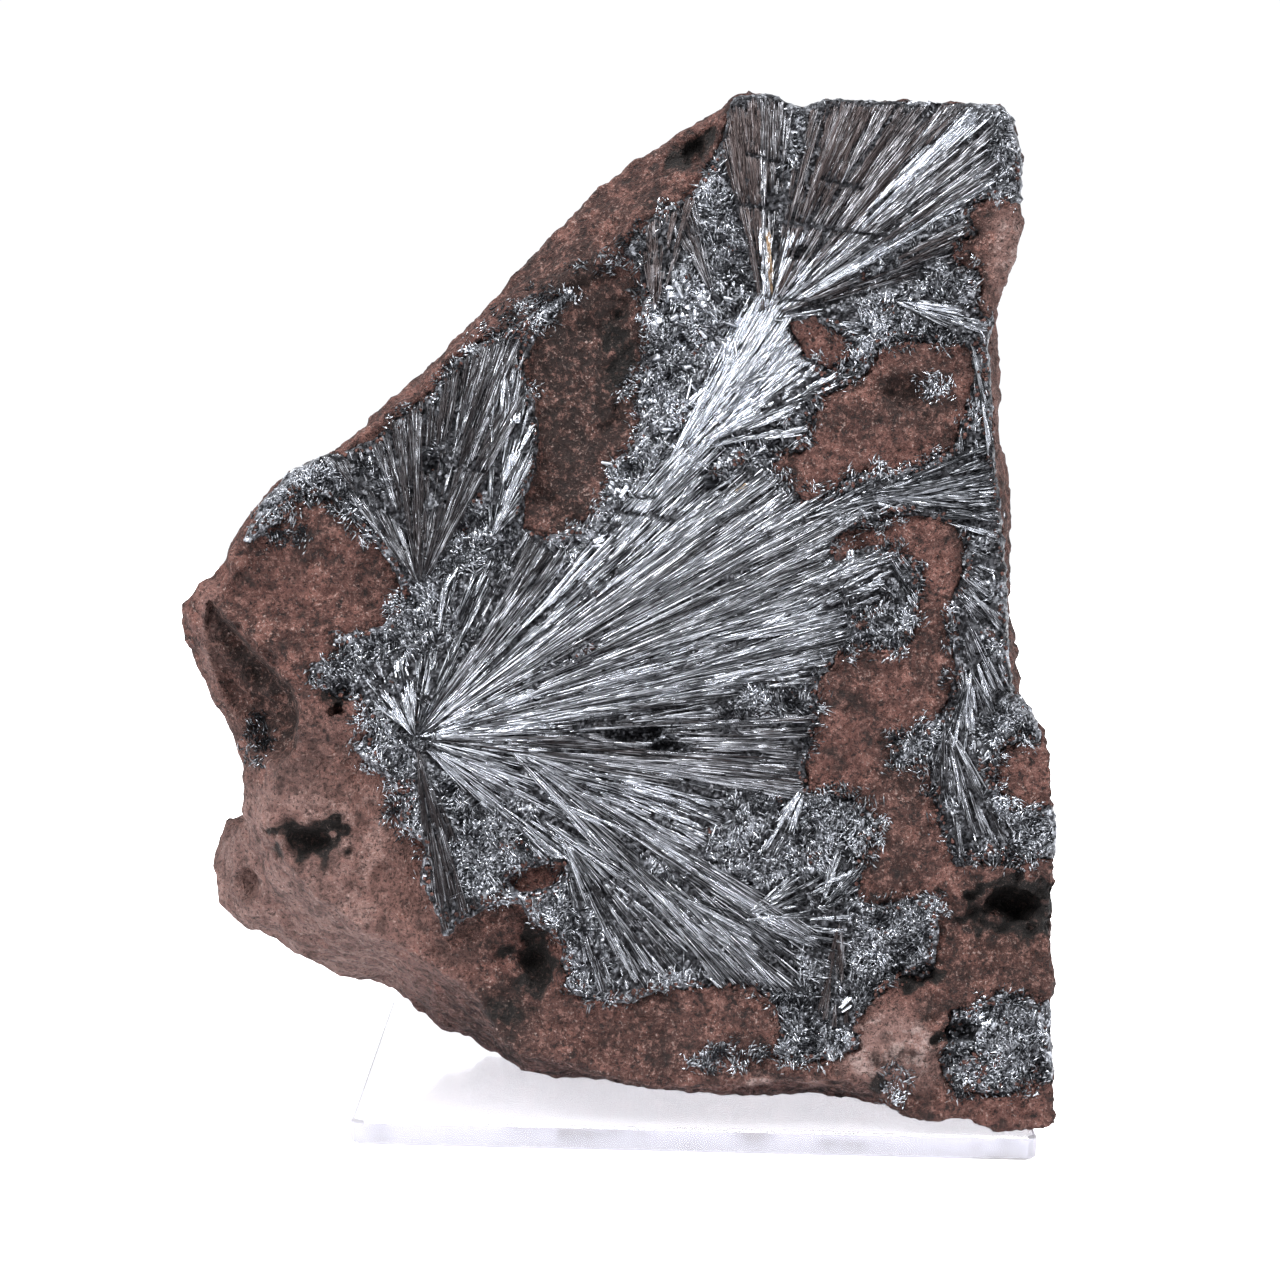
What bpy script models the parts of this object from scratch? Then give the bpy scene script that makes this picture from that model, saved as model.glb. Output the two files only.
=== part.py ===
"""Pyrolusite specimen: radiating sprays of manganese oxide needles that grew across one face of a
brown rock, resting on a square of clear acrylic sheet.

Metres, +Z up. The origin is the middle of the acrylic sheet's underside and the sprays face -Y.
The stone is laid out on its own face plane: u runs to the right, v up the face and w into the stone,
all in millimetres, and FACE then leans the whole stone back on the sheet.
"""

import math

import bmesh
import bpy
from mathutils import Matrix, Vector, noise

MM = 0.001

# Driving sizes, in metres and radians
BASE_SIDE = 0.069
BASE_THICKNESS = 0.0025
BASE_CORNER = 0.0015
BASE_EDGE = 0.0003
CLEARANCE = 0.0003
MERGE = 0.000003
FACE_FOOT = Vector((-0.0053, -0.0352, 0.00135))
FACE_LEAN = math.radians(7.0)
FACE_ROLL = math.radians(1.2)
FACE_YAW = math.radians(0.78)

# The crust of needles, in millimetres from the face plane: behind it is positive
CRUST_BACK = 3.0
CRUST_FELT = 0.6
FAN_CREST = -0.9
FAN_VALLEY = 0.3
FAN_ROOT = 1.9
SPRAY_LAP = 1.3
FELT_UNDER = 1.0
FELT_SPAN_U = (-50.0, 50.0)
FELT_SPAN_V = (-8.0, 112.0)
REACH = 8.0
SHARPEST_CORNER = 0.6

# A spray's shape: shares of its reach with the rise of its ridges there, and how uneven its end is
SPRAY_ROWS = ((0.04, 0.5), (0.45, 1.0), (1.0, 0.0))
VALLEY_RISE = 0.15
VALLEY_SHORT = 0.07
RAGGED_END = 0.16
RAGGED_STEP = 0.7

# A single crystal, in millimetres and in shares of its length
BLADE_THICK = 1.1
BLADE_ROOT = 0.9
BLADE_SLOPE = 0.12
BLADE_SHOULDER = 0.75
BLADE_ENDS = (-0.25, 1.0)

# The stone's surface, in millimetres
MIDDLE = Vector((5.0, 52.0))
WIDEST_STEP = math.radians(4.5)
RING_STEP = 6.0
FACE_GRAIN = 0.5
SIDE_GRAIN = 0.8
GRAIN_STARTS = 4.0
GRAIN_FULL = 18.0
ISLAND_DROP = 1.2
PIT_DENT = 0.25
PIT_GRAIN = 1.3
FACE_MIDDLE_DEPTH = 0.2

# The stone's surface, in shares of a ring's size and in lumps to the millimetre
FACE_RINGS = (0.96, 0.86, 0.74, 0.58, 0.4, 0.2)
BACK_RINGS = (0.8, 0.45)
BROAD_LUMPS = 0.09
SMALL_LUMPS = 0.23
BROAD_HEIGHT = 1.7

# How many of the triangles are kept where the Booleans left more than the form needs
ROCK_KEPT = 0.85
CRUST_KEPT = 0.68

# Closed loops around the stone, clockwise from the top: u, v, w in millimetres.
# RIM is the edge of the face, SHOULDER the worn edge behind it, and so on to the broken BACK.
RIM = [
    (9.8, 104.3, 0), (12.2, 104.5, 0), (13.6, 104.3, 0), (15, 103.3, 0), (16.6, 103.1, 0),
    (18.5, 103.9, 0), (23, 103.7, 0), (28, 103.6, 0), (36, 103.4, 0), (37.2, 102, 0), (38, 98, 0),
    (37.8, 91.2, 0), (36.9, 87, 0), (35.6, 83.2, 0), (34.6, 79.8, 0), (35, 74, 0), (35.1, 69, 0),
    (35.8, 64, 0), (36.4, 57, 0), (36.6, 49, 0), (37, 45.4, 0), (39, 42.8, 0), (41, 38.3, 0),
    (40.9, 35, 0), (41.5, 30.5, 0), (41, 24, 0), (41, 16, 0), (40.7, 12, 0), (41.4, 8, 0),
    (41.5, 1.5, 0), (40.8, 0.8, 0), (38.5, 0.8, 0), (36.3, 0.7, 0), (32, 2.1, 0), (26.6, 2.1, 0), (24, 4, 0),
    (22.8, 5.3, 0), (16, 6, 0), (10, 5.7, 0), (5, 5.2, 0), (0, 5.8, 0.3), (-6, 7.3, 0.6),
    (-12, 8.4, 1), (-14, 9.6, 2), (-16.1, 13.8, 2.5), (-19.1, 15.8, 2.5), (-24.2, 18.8, 3),
    (-29.2, 21.8, 3), (-34.2, 25.8, 3), (-37.2, 30.4, 3), (-37, 33.9, 2.5), (-35.9, 37.5, 1.5),
    (-34.4, 39.5, 1), (-34.3, 42, 0.5), (-35, 44.5, 0.5), (-37.3, 47.2, 0.8), (-39.6, 49.2, 1),
    (-41.6, 51.5, 1.5), (-43, 53.5, 2), (-42.4, 55.5, 2), (-40.9, 58, 1.6), (-39.3, 60.5, 1.2),
    (-37.3, 64, 1), (-35.1, 66.5, 1), (-29.6, 69.2, 0.8), (-26.8, 71, 0.5), (-24, 73.5, 0.5),
    (-21, 75.6, 0.5), (-20, 77.5, 0.5), (-17, 80, 0.5), (-14, 81.5, 0.5), (-11, 83, 0.5),
    (-8, 85.5, 0.5), (-6, 87, 0.5), (-3, 88.5, 0.5), (0, 92.5, 0.5), (5, 95.6, 0.8),
    (7.2, 99.1, 0.5), (8.2, 102.3, 0.5),
]
SHOULDER = [
    (9.9, 104.6, 5), (15.2, 103.8, 6), (22.3, 104.2, 6), (30.4, 104, 6), (36.5, 103.9, 6),
    (37.9, 101.7, 6), (38.3, 95.6, 6), (38.1, 91.7, 6), (37.2, 86.6, 7), (35.6, 82.6, 8),
    (35.2, 78.6, 9), (35.9, 72.4, 9), (36.3, 67.3, 9), (37, 60.2, 8), (37.3, 52, 8),
    (37.7, 45.9, 8), (39.6, 41.9, 7), (41.2, 37.8, 7), (41.4, 31.7, 7), (41.5, 25.6, 7),
    (41.2, 18.5, 7), (41, 11.4, 7), (41.5, 6.4, 6), (41.5, 2, 5), (38.4, 0.8, 5), (36.4, 0.6, 5),
    (32.4, 1.9, 5), (26.8, 2.2, 6), (24.4, 3.5, 7), (21.4, 4.6, 8), (16.3, 5, 8), (10.2, 4.6, 8),
    (5.1, 4.2, 8), (0, 4.8, 8), (-6.1, 6.4, 8), (-12.2, 8.1, 7), (-14.2, 9.7, 6), (-17.3, 12.4, 7),
    (-21.4, 14.9, 8), (-26.5, 17.9, 9), (-31.7, 20.9, 10), (-35.8, 23.9, 10), (-38.6, 27.5, 10),
    (-39.2, 30.6, 9), (-39.7, 33.7, 8), (-40.3, 37.3, 9), (-41.7, 41.3, 10), (-43.7, 43.7, 10),
    (-44.9, 47.5, 9), (-45.8, 50, 8), (-46.4, 52.2, 7), (-45.5, 54.9, 5.5), (-42.3, 57.4, 5),
    (-40.4, 60.6, 5), (-38.2, 64.2, 5), (-35.4, 67.2, 5), (-29.8, 69.8, 5), (-25.3, 73.6, 6),
    (-22.3, 76.6, 7), (-18.8, 80, 7), (-16.2, 83, 7), (-12.2, 87.8, 7), (-8.1, 91.8, 7),
    (-4.1, 95.7, 7), (0, 98.4, 7), (4.1, 101.1, 6), (7.6, 103.3, 5),
]
WAIST = [
    (12.5, 104.3, 18), (22.9, 104.3, 18), (33.3, 104.3, 18), (37.8, 103.4, 17), (38.6, 96.7, 17),
    (38.2, 91.5, 17), (36.9, 85.3, 18), (36, 80.5, 19), (37, 75, 19), (37.4, 71.9, 19), (37.7, 64.6, 19),
    (38.3, 56.3, 19), (38.5, 47.9, 18), (39.6, 42.7, 19), (41.2, 36.5, 18), (41.6, 28.2, 18),
    (41.6, 17.8, 18), (41.7, 6.4, 17), (40.4, 1.3, 16), (32.1, 1.1, 16), (24.9, 2.2, 18),
    (16.7, 3, 20), (10.4, 2.8, 18), (5.2, 2.9, 17), (0, 3.3, 17), (-6.2, 4.9, 16),
    (-12.5, 6.3, 18), (-15.2, 8.7, 22), (-20.4, 10, 22), (-23, 12.6, 20), (-27.1, 15, 20),
    (-33.4, 16.4, 20), (-37.5, 19.2, 19), (-41.6, 20.7, 18), (-43.5, 22.5, 18), (-44.2, 25.1, 18),
    (-43.8, 28.7, 18), (-42.6, 30.8, 18), (-42, 34.4, 18), (-42.4, 38.6, 18), (-44.1, 43.8, 18),
    (-45.1, 47.9, 18), (-45.1, 52.1, 18), (-43.1, 56.2, 18), (-39.3, 62, 18), (-33.3, 67.7, 18),
    (-26, 73.7, 18), (-19.2, 79.6, 18), (-12.5, 87.4, 18), (-5.2, 94.5, 18), (2.1, 99.9, 18),
    (7.8, 103.5, 18),
]
HIP = [
    (13.9, 102.2, 30), (23.5, 102.7, 30), (33, 102.2, 30), (36.8, 99.6, 30), (38.4, 93.6, 29),
    (37.4, 86.1, 28), (36.6, 81, 27), (37.6, 76, 27), (38.6, 68, 27), (38.9, 58.5, 27), (39.4, 50, 27),
    (39.7, 44.7, 28), (40.7, 35.1, 30), (40.9, 22.3, 30), (40.3, 11.6, 30), (38.4, 5.2, 30),
    (32, 2, 30), (23.5, 1, 30), (12.8, 0.4, 30), (2.1, 1, 30), (-8.5, 2.2, 30), (-16, 7.1, 31),
    (-22.4, 10.3, 31), (-29.9, 14.1, 31), (-37.3, 18.2, 30), (-42.6, 22.3, 30), (-43.5, 29.7, 30),
    (-43.1, 39.3, 30), (-43.1, 47.9, 30), (-40.3, 55.3, 30), (-35.2, 62.8, 30), (-27.7, 70.3, 30),
    (-20.3, 76.6, 30), (-11.7, 85.2, 30), (-3.2, 93.7, 30), (5.3, 99.6, 30),
]
BACK = [
    (15.3, 96.9, 41), (26.2, 98, 41), (33.8, 95.2, 41), (36.5, 83.8, 41), (37.1, 67.4, 41),
    (37.1, 52.2, 41), (37.6, 36.9, 41), (37.1, 21.7, 41), (35.4, 9.7, 41), (28.3, 2, 41),
    (13.1, -0.1, 41), (0, 0.4, 41), (-13.1, 3.1, 41), (-21.8, 8.6, 41), (-30.5, 15.1, 41),
    (-37.1, 21.7, 41), (-38.7, 32.6, 41), (-38.2, 43.5, 41), (-34.9, 53.3, 41), (-28.3, 63.1, 41),
    (-18.5, 72.9, 41), (-8.7, 83.8, 41), (2.2, 92.5, 41),
]
BACK_DEPTH = 45.0

# Where brown rock stands through the crust or borders it: outlines on the face plane, u and v.
# They may run past the stone's rim, because only the part on the face counts.
ROCK_PATCHES = {
    "upper_band": [
        (8.7, 102), (7.7, 98.8), (5.5, 95.1), (0.5, 92.1), (-2.4, 87.8), (-5.6, 86.5), (-7.6, 85),
        (-10.7, 82.5), (-13.7, 81), (-16.7, 79.4), (-19.6, 77), (-20.6, 75.1), (-23.6, 73),
        (-26.4, 70.5), (-30, 68.6), (-39, 72), (-34, 89), (-8, 108), (8.7, 108),
    ],
    "lower_margin": [
        (-52, 58), (-40.5, 58.8), (-37.8, 60.5), (-35.5, 62.5), (-34, 64.5), (-31, 64.2),
        (-28.5, 61.5), (-26.2, 59.2), (-24.2, 56.2), (-23.8, 54), (-25.5, 51.5), (-29, 50.8),
        (-31.8, 51.2), (-30.5, 49), (-33.5, 47.5), (-32.5, 45), (-29.5, 44), (-27.5, 43.5),
        (-26.8, 41), (-29, 39), (-25.5, 36.5), (-23.8, 34), (-24.2, 31.5), (-21.5, 29.5),
        (-22, 26), (-20.8, 23.5), (-19.5, 20), (-18.2, 21.5), (-16, 22.8), (-13.5, 23.8),
        (-12, 23.5), (-10.5, 21.5), (-8, 20), (-7.8, 17.5), (-7, 14.5), (-4, 13.8), (-1.5, 13.5),
        (0, 14), (2, 14.8), (11, 15.2), (13.2, 13.5), (13.8, 10), (12.8, 8.2), (16, 7.6),
        (20, 8.2), (22.2, 9), (21.5, 11), (23, 13.5), (25, 15.2), (26.5, 16.5), (29.5, 16),
        (30.8, 13.6), (30.6, 10.5), (29.8, 8), (30.6, 5.7), (32.2, 4.5), (34.5, 4.7), (37, 4.2),
        (39, 5.7), (44, 6), (44, -6), (-52, -6),
    ],
    "island": [
        (-4, 87.8), (-1.8, 89), (0, 87), (0.2, 84), (0, 78), (-0.2, 74), (0, 71), (-0.8, 69),
        (-2.5, 68.2), (-3.2, 67), (-4, 64), (-5.5, 62), (-7, 61), (-9.5, 60.5), (-11.4, 61.2),
        (-11.6, 64), (-10.5, 67), (-10, 71), (-10.8, 74), (-11.6, 77), (-10.5, 80), (-9.2, 82.2),
        (-6.8, 84.5), (-6, 86.5),
    ],
    "spot": [
        (15, 81.5), (17.2, 82), (19.5, 81), (21.2, 79.5), (21, 77.8), (19, 77.2), (16.8, 78.5),
    ],
    "upper_right": [
        (24, 79.5), (26.5, 80.2), (29.5, 79.5), (32, 79.5), (33, 78), (32.8, 75), (32.2, 72),
        (31.2, 69.4), (29, 67.8), (25, 67), (22, 67), (20.5, 66.2), (19, 64.8), (16.5, 64),
        (15.5, 65.5), (13, 67.5), (14.5, 68.5), (17, 69), (17.2, 72), (18, 74.2), (21, 75.5),
        (23, 77),
    ],
    "arch": [
        (19.8, 58), (19.2, 59.5), (21, 61), (24, 62.2), (28, 62.5), (31, 61.5), (32.5, 59.5),
        (32.2, 56.5), (31, 54.5), (30.8, 51), (31.5, 47.5), (31, 44), (29.5, 41.8), (26.5, 40.5),
        (24.8, 39.5), (25, 37.5), (26.5, 37.2), (28.8, 38), (29.2, 34), (30, 30.5), (31.5, 26.8),
        (30.5, 24.8), (26.5, 24), (24, 23.4), (22.6, 23.7), (22.2, 25.2), (22.8, 27), (22.5, 29),
        (24, 30.5), (23.8, 32.8), (21, 34), (19, 34.5), (17, 35), (16.6, 37.5), (17.2, 39.5),
        (18.2, 42), (18, 45), (19.5, 48), (21.5, 49), (23.5, 48.5), (25.5, 49), (27.5, 50),
        (28.2, 53), (28.5, 56), (27.8, 58.5), (24, 59.5), (21.5, 59),
    ],
    "right_low": [
        (30.2, 26), (32, 27.2), (34.5, 27.6), (37, 27.2), (40, 28), (44, 28.2), (44, 14.4),
        (40, 14.4), (36, 15), (32.5, 13.7), (30.2, 13), (29.2, 16), (30, 20), (29.8, 23.5),
    ],
    "right_high": [
        (32.8, 93.5), (35, 94), (37, 93.5), (42, 93.5), (42, 81), (36, 82.4), (34.2, 82.8),
        (33.8, 84), (34.5, 85.5), (34, 87), (32.5, 87.8), (31.5, 89), (32.5, 90), (34, 90.2),
        (33.5, 92),
    ],
    "right_middle": [
        (36, 38.8), (38, 39.8), (40, 39.8), (44, 39.5), (44, 32.8), (39.5, 34), (38, 33),
        (36.5, 34), (35.5, 36),
    ],
    "low_spot": [(-13.8, 26), (-11, 27.2), (-8, 27.8), (-7.2, 26.5), (-9, 25.2), (-12, 24.7)],
}
CORNER_PATCH = [
    (31.2, 13), (33.5, 13.7), (36, 14.6), (39.5, 14.2), (41, 14), (41.5, 5.6), (39, 5.7), (37, 4.2),
    (34.5, 4.7), (32.2, 4.5), (30.6, 5.7), (29.8, 8), (30.6, 10.5),
]

# The step in the left side: an outline on the face plane, and how deep behind it the step starts
NOTCH = [
    (-60, 30.4), (-44.2, 30), (-39.9, 30.9), (-39.7, 33.7), (-40.4, 37.3), (-41.7, 41.3),
    (-43.7, 44), (-60, 46),
]
NOTCH_FRONT = 8.5

# Hollows in the brown rock: u, v, w of the middle, then the half sizes along u, v and w
PITS = [
    (-10.5, 18, 0.7, 2.3, 3.0, 3.9), (-33.5, 29.7, 2.6, 3.1, 2.0, 2.6), (37.2, 23.5, 0.4, 3.5, 2.0, 3.2),
    (5.3, 99.5, 2.8, 1.6, 2.2, 2.4), (-40.0, 24.5, 13.2, 1.6, 2.2, 2.4), (27.2, 75.0, 0.2, 3.0, 2.0, 1.4),
    (-30.4, 42.9, 0.9, 1.4, 1.0, 1.8), (-41.3, 49.3, 1.2, 2.7, 2.9, 3.0), (-38.6, 46.2, 1.0, 3.0, 2.8, 3.4),
    (-36.2, 42.6, 0.6, 2.2, 3.2, 3.2), (31.7, 10.7, 0.6, 1.8, 1.2, 1.8),
]

# Planes that broke the stone's sides and back: a point u, v, w and the outward direction
BREAKS = [
    ((0, 50, 42.8), (0.06, 0.10, 1.0)), ((26, 90, 31), (0.30, 0.75, 0.62)),
    ((-14, 82, 32), (-0.50, 0.45, 0.75)), ((-36, 40, 33), (-0.62, -0.12, 0.78)),
    ((-20, 14, 38), (-0.35, -0.55, 0.75)), ((35, 30, 37), (0.60, -0.10, 0.80)),
    ((36, 70, 32), (0.72, 0.12, 0.68)), ((-42.4, 52, 20), (-0.85, 0.45, 0.30)),
    ((10, 60, 42.6), (0.22, -0.16, 1.0)), ((-12, 40, 41.0), (-0.24, -0.08, 1.0)),
    ((-6, 22, 41.2), (-0.10, -0.34, 1.0)),
]

# Sprays of the crust: the origin u, v, the two edge angles in degrees from +u, the reach of the
# longest ridge in millimetres and how many ridges it has
SPRAYS = [
    (-22.5, 40.2, -88, -62, 20, 3), (-22.5, 40.2, -30, -12, 39, 4), (-22.5, 40.2, -10, 9, 41, 5),
    (-22.5, 40.2, 11, 27, 50, 4), (-22.5, 40.2, 29, 42, 46, 4), (-22.5, 40.2, 46, 72, 22, 4),
    (-12.5, 38, -66, -34, 30, 6), (-4, 27, -88, -70, 17, 3), (12.5, 82, 78, 103, 22, 4),
    (12.5, 82, 50, 76, 27, 5), (12.5, 82, 22, 47, 29, 5), (12.5, 82, -12, 12, 15, 3),
    (12.5, 81, 214, 244, 24, 5), (7, 70, -2, 34, 13, 3), (-22, 55, 60, 84, 27, 4),
    (-22, 55, 87, 120, 17, 4), (3, 84, 55, 118, 10, 3), (15, 61, 4, 25, 21, 4),
    (34, 66, 252, 280, 20, 3), (15, 53, 8, 46, 13, 4), (31, 43, 266, 318, 12, 4),
    (14, 32, 250, 300, 13, 4), (-14, 61, 44, 92, 17, 4), (17, 19, 240, 316, 10, 4),
]
CORNER_SPRAYS = [(33, 12.5, 262, 330, 8, 5), (39, 7, 90, 168, 7, 4)]

# Single crystals that stand out of the felt: u, v, the angle in degrees, the length and the width
BLADES = [
    (-28, 63, 70, 6, 1.4), (-19, 63, 20, 5, 1.2), (-3, 57, 80, 6, 1.4), (4, 76, 115, 6, 1.4),
    (24, 83, 350, 5, 1.2), (32, 91, 60, 5, 1.2), (9, 60, 10, 5, 1.2), (22, 66, 15, 5, 1.2),
    (-17, 50, 130, 5, 1.2), (3, 33, 340, 6, 1.3), (9, 29, 100, 6, 1.3), (-17, 30, 300, 5, 1.2),
    (-9, 27, 280, 5, 1.2), (4, 19, 75, 5, 1.2), (21, 27, 120, 6, 1.3), (24, 20, 20, 5, 1.2),
    (35, 44, 140, 5, 1.2), (26, 21.5, 10, 5, 1.2), (33, 30, 330, 4, 1.2),
]
CORNER_BLADES = [(34, 8, 30, 5, 1.0), (38, 11, 200, 4, 1.0)]


def face_frame():
    """Matrix from the stone as laid out (u along X, w along Y, v along Z) to the part's frame."""
    up = Vector((0, math.sin(FACE_LEAN), math.cos(FACE_LEAN)))
    right = Vector((1, 0, 0)) * math.cos(FACE_ROLL) + up * math.sin(FACE_ROLL)
    into = Vector((0, math.cos(FACE_LEAN), -math.sin(FACE_LEAN)))
    axes = Matrix((right, into, right.cross(into))).transposed().to_4x4()
    return Matrix.Translation(FACE_FOOT) @ Matrix.Rotation(FACE_YAW, 4, "Z") @ axes


def on_face(u, v, w):
    """A point or direction given in the face plane's millimetres, as laid out in metres."""
    return Vector((u, w, v)) * MM


def material(name, colour, roughness, metallic, transmission=0.0):
    """A plain Principled material."""
    made = bpy.data.materials.new(name)
    made.use_nodes = True
    shader = made.node_tree.nodes["Principled BSDF"]
    shader.inputs["Base Color"].default_value = (*colour, 1.0)
    shader.inputs["Roughness"].default_value = roughness
    shader.inputs["Metallic"].default_value = metallic
    shader.inputs["Transmission Weight"].default_value = transmission
    return made


def solid(name, body):
    """An object that holds a bmesh whose faces are turned outward."""
    body.normal_update()
    bmesh.ops.recalc_face_normals(body, faces=body.faces)
    mesh = bpy.data.meshes.new(name)
    body.to_mesh(mesh)
    body.free()
    made = bpy.data.objects.new(name, mesh)
    bpy.context.collection.objects.link(made)
    return made


def evaluated(piece):
    """The piece's mesh with its modifiers applied."""
    depsgraph = bpy.context.evaluated_depsgraph_get()
    return bpy.data.meshes.new_from_object(piece.evaluated_get(depsgraph))


def combine(target, tool, operation, overlapping=False):
    """Boolean of a solid with a tool, which is used up; the solid may be overlapping bodies."""
    step = target.modifiers.new("step", "BOOLEAN")
    step.operation = operation
    step.solver = "EXACT"
    step.use_self = overlapping
    step.object = tool
    result = evaluated(target)
    target.modifiers.remove(step)
    target.data = result
    bpy.data.objects.remove(tool)


def prism(name, outline, front, back):
    """A block with the outline's sides, from one depth to another."""
    body = bmesh.new()
    near = [body.verts.new(on_face(u, v, front)) for u, v in outline]
    far = [body.verts.new(on_face(u, v, back)) for u, v in outline]
    count = len(outline)
    for index in range(count):
        after = (index + 1) % count
        body.faces.new((near[index], near[after], far[after], far[index]))
    bmesh.ops.contextual_create(body, geom=near)
    bmesh.ops.contextual_create(body, geom=far)
    return solid(name, body)


def grown(outline, distance):
    """The outline moved outward by a distance, or inward where it is negative."""
    points = [Vector(point) for point in outline]
    area = sum(a.cross(b) for a, b in zip(points, points[1:] + points[:1]))
    side = math.copysign(1.0, area)
    moved = []
    for before, here, after in zip(points[-1:] + points[:-1], points, points[1:] + points[:1]):
        first = (here - before).normalized()
        second = (after - here).normalized()
        outward = Vector((first.y + second.y, -first.x - second.x)).normalized() * side
        corner = max(outward.dot(Vector((first.y, -first.x)) * side), SHARPEST_CORNER)
        moved.append(tuple(here + outward * distance / corner))
    return moved


def inside(point, outline):
    """Whether a point of the face lies within an outline."""
    within = False
    for (u0, v0), (u1, v1) in zip(outline, outline[1:] + outline[:1]):
        if (v0 > point.y) != (v1 > point.y):
            within ^= point.x < u0 + (point.y - v0) / (v1 - v0) * (u1 - u0)
    return within


def bearings():
    """Directions from the stone's middle that take in every corner of the rim."""
    corners = sorted(math.atan2(v - MIDDLE.y, u - MIDDLE.x) for u, v, _ in RIM)
    angles = []
    for start, end in zip(corners, corners[1:] + [corners[0] + math.tau]):
        steps = max(1, math.ceil((end - start) / WIDEST_STEP))
        angles += [start + (end - start) * step / steps for step in range(steps)]
    return angles


def crossing(loop, angle):
    """Where a ray from the stone's middle leaves a loop: u, v, w."""
    ray = Vector((math.cos(angle), math.sin(angle)))
    hits = []
    for start, end in zip(loop, loop[1:] + loop[:1]):
        near = Vector(start[:2]) - MIDDLE
        edge = Vector(end[:2]) - Vector(start[:2])
        slant = ray.cross(edge)
        if abs(slant) < 1e-9:
            continue
        share = near.cross(ray) / slant
        distance = near.cross(edge) / slant
        if -1e-6 <= share <= 1 + 1e-6 and distance > 0:
            hits.append((distance, start[2] + (end[2] - start[2]) * share))
    distance, depth = max(hits)
    return Vector((MIDDLE.x + ray.x * distance, MIDDLE.y + ray.y * distance, depth))


def stone_rings():
    """Rings of points around the stone, from the rim to the back."""
    angles = bearings()
    loops = [[crossing(loop, angle) for angle in angles] for loop in (RIM, SHOULDER, WAIST, HIP, BACK)]
    rings = []
    for near, far in zip(loops, loops[1:]):
        depth = sum(b.z - a.z for a, b in zip(near, far)) / len(near)
        steps = max(1, round(depth / RING_STEP))
        for step in range(steps):
            rings.append([a.lerp(b, step / steps) for a, b in zip(near, far)])
    return rings + [loops[-1]]


def cap_rings(ring, shares, depth):
    """Rings that close a ring toward the stone's middle, with the middle last."""
    middle = Vector((MIDDLE.x, MIDDLE.y, depth))
    return [[middle + (point - middle) * share for point in ring] for share in shares], middle


def roughened(point, front):
    """The point moved by the rock's own lumps; the rim of the face stays where it is."""
    lumps = noise.noise_vector(point * BROAD_LUMPS) * BROAD_HEIGHT
    lumps += noise.noise_vector(point * SMALL_LUMPS + MIDDLE.to_3d())
    if front:
        drop = ISLAND_DROP if inside(point, ROCK_PATCHES["island"]) else 0.0
        return point + Vector((0, 0, lumps.z * FACE_GRAIN + drop))
    grown_in = (point.z - GRAIN_STARTS) / (GRAIN_FULL - GRAIN_STARTS)
    return point + lumps * SIDE_GRAIN * min(1.0, max(0.0, grown_in))


def stone_body():
    """The whole stone before the crust's bed, the pits and the breaks are cut."""
    rings = stone_rings()
    face, face_middle = cap_rings(rings[0], FACE_RINGS, FACE_MIDDLE_DEPTH)
    back, back_middle = cap_rings(rings[-1], BACK_RINGS, BACK_DEPTH)
    layers = list(reversed(face)) + rings + back
    body = bmesh.new()
    grid = []
    for number, ring in enumerate(layers):
        front = number < len(face)
        grid.append([body.verts.new(on_face(*roughened(point, front))) for point in ring])
    for near, far in zip(grid, grid[1:]):
        for index in range(len(near)):
            after = (index + 1) % len(near)
            body.faces.new((near[index], near[after], far[after], far[index]))
    for ring, middle, front in ((grid[0], face_middle, True), (grid[-1], back_middle, False)):
        tip = body.verts.new(on_face(*roughened(middle, front)))
        for index in range(len(ring)):
            body.faces.new((ring[index], ring[(index + 1) % len(ring)], tip))
    bmesh.ops.triangulate(body, faces=body.faces)
    for place, outward in BREAKS:
        cut_plane(body, on_face(*place), on_face(*outward).normalized())
    cut_plane(body, *seat_plane())
    return solid("stone", body)


def cut_plane(body, place, outward):
    """Take away what lies beyond a plane and close the cut flat."""
    geometry = body.verts[:] + body.edges[:] + body.faces[:]
    bmesh.ops.bisect_plane(body, geom=geometry, plane_co=place, plane_no=outward, clear_outer=True)
    rim = [edge for edge in body.edges if edge.is_boundary]
    if rim:
        bmesh.ops.holes_fill(body, edges=rim)


def felt_sheet():
    """A rectangle that is wider than the face on every side."""
    left, right = FELT_SPAN_U
    bottom, top = FELT_SPAN_V
    return [(left, bottom), (right, bottom), (right, top), (left, top)]


def crust_bed():
    """Cutter for the shallow bed that the needles fill, with the rock's patches left standing."""
    bed = prism("bed", felt_sheet(), -REACH, CRUST_BACK + CLEARANCE / MM)
    for name, outline in ROCK_PATCHES.items():
        combine(bed, prism(name, outline, -2 * REACH, 2 * REACH), "DIFFERENCE")
    return bed


def pit(u, v, w, half_u, half_v, half_w):
    """An uneven hollow."""
    body = bmesh.new()
    bmesh.ops.create_icosphere(body, subdivisions=2, radius=1.0)
    for corner in body.verts:
        dent = 1.0 + PIT_DENT * noise.noise(corner.co * PIT_GRAIN + Vector((u, v, w)))
        offset = on_face(corner.co.x * half_u, corner.co.y * half_v, corner.co.z * half_w) * dent
        corner.co = on_face(u, v, w) + offset
    return solid("pit", body)


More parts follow.
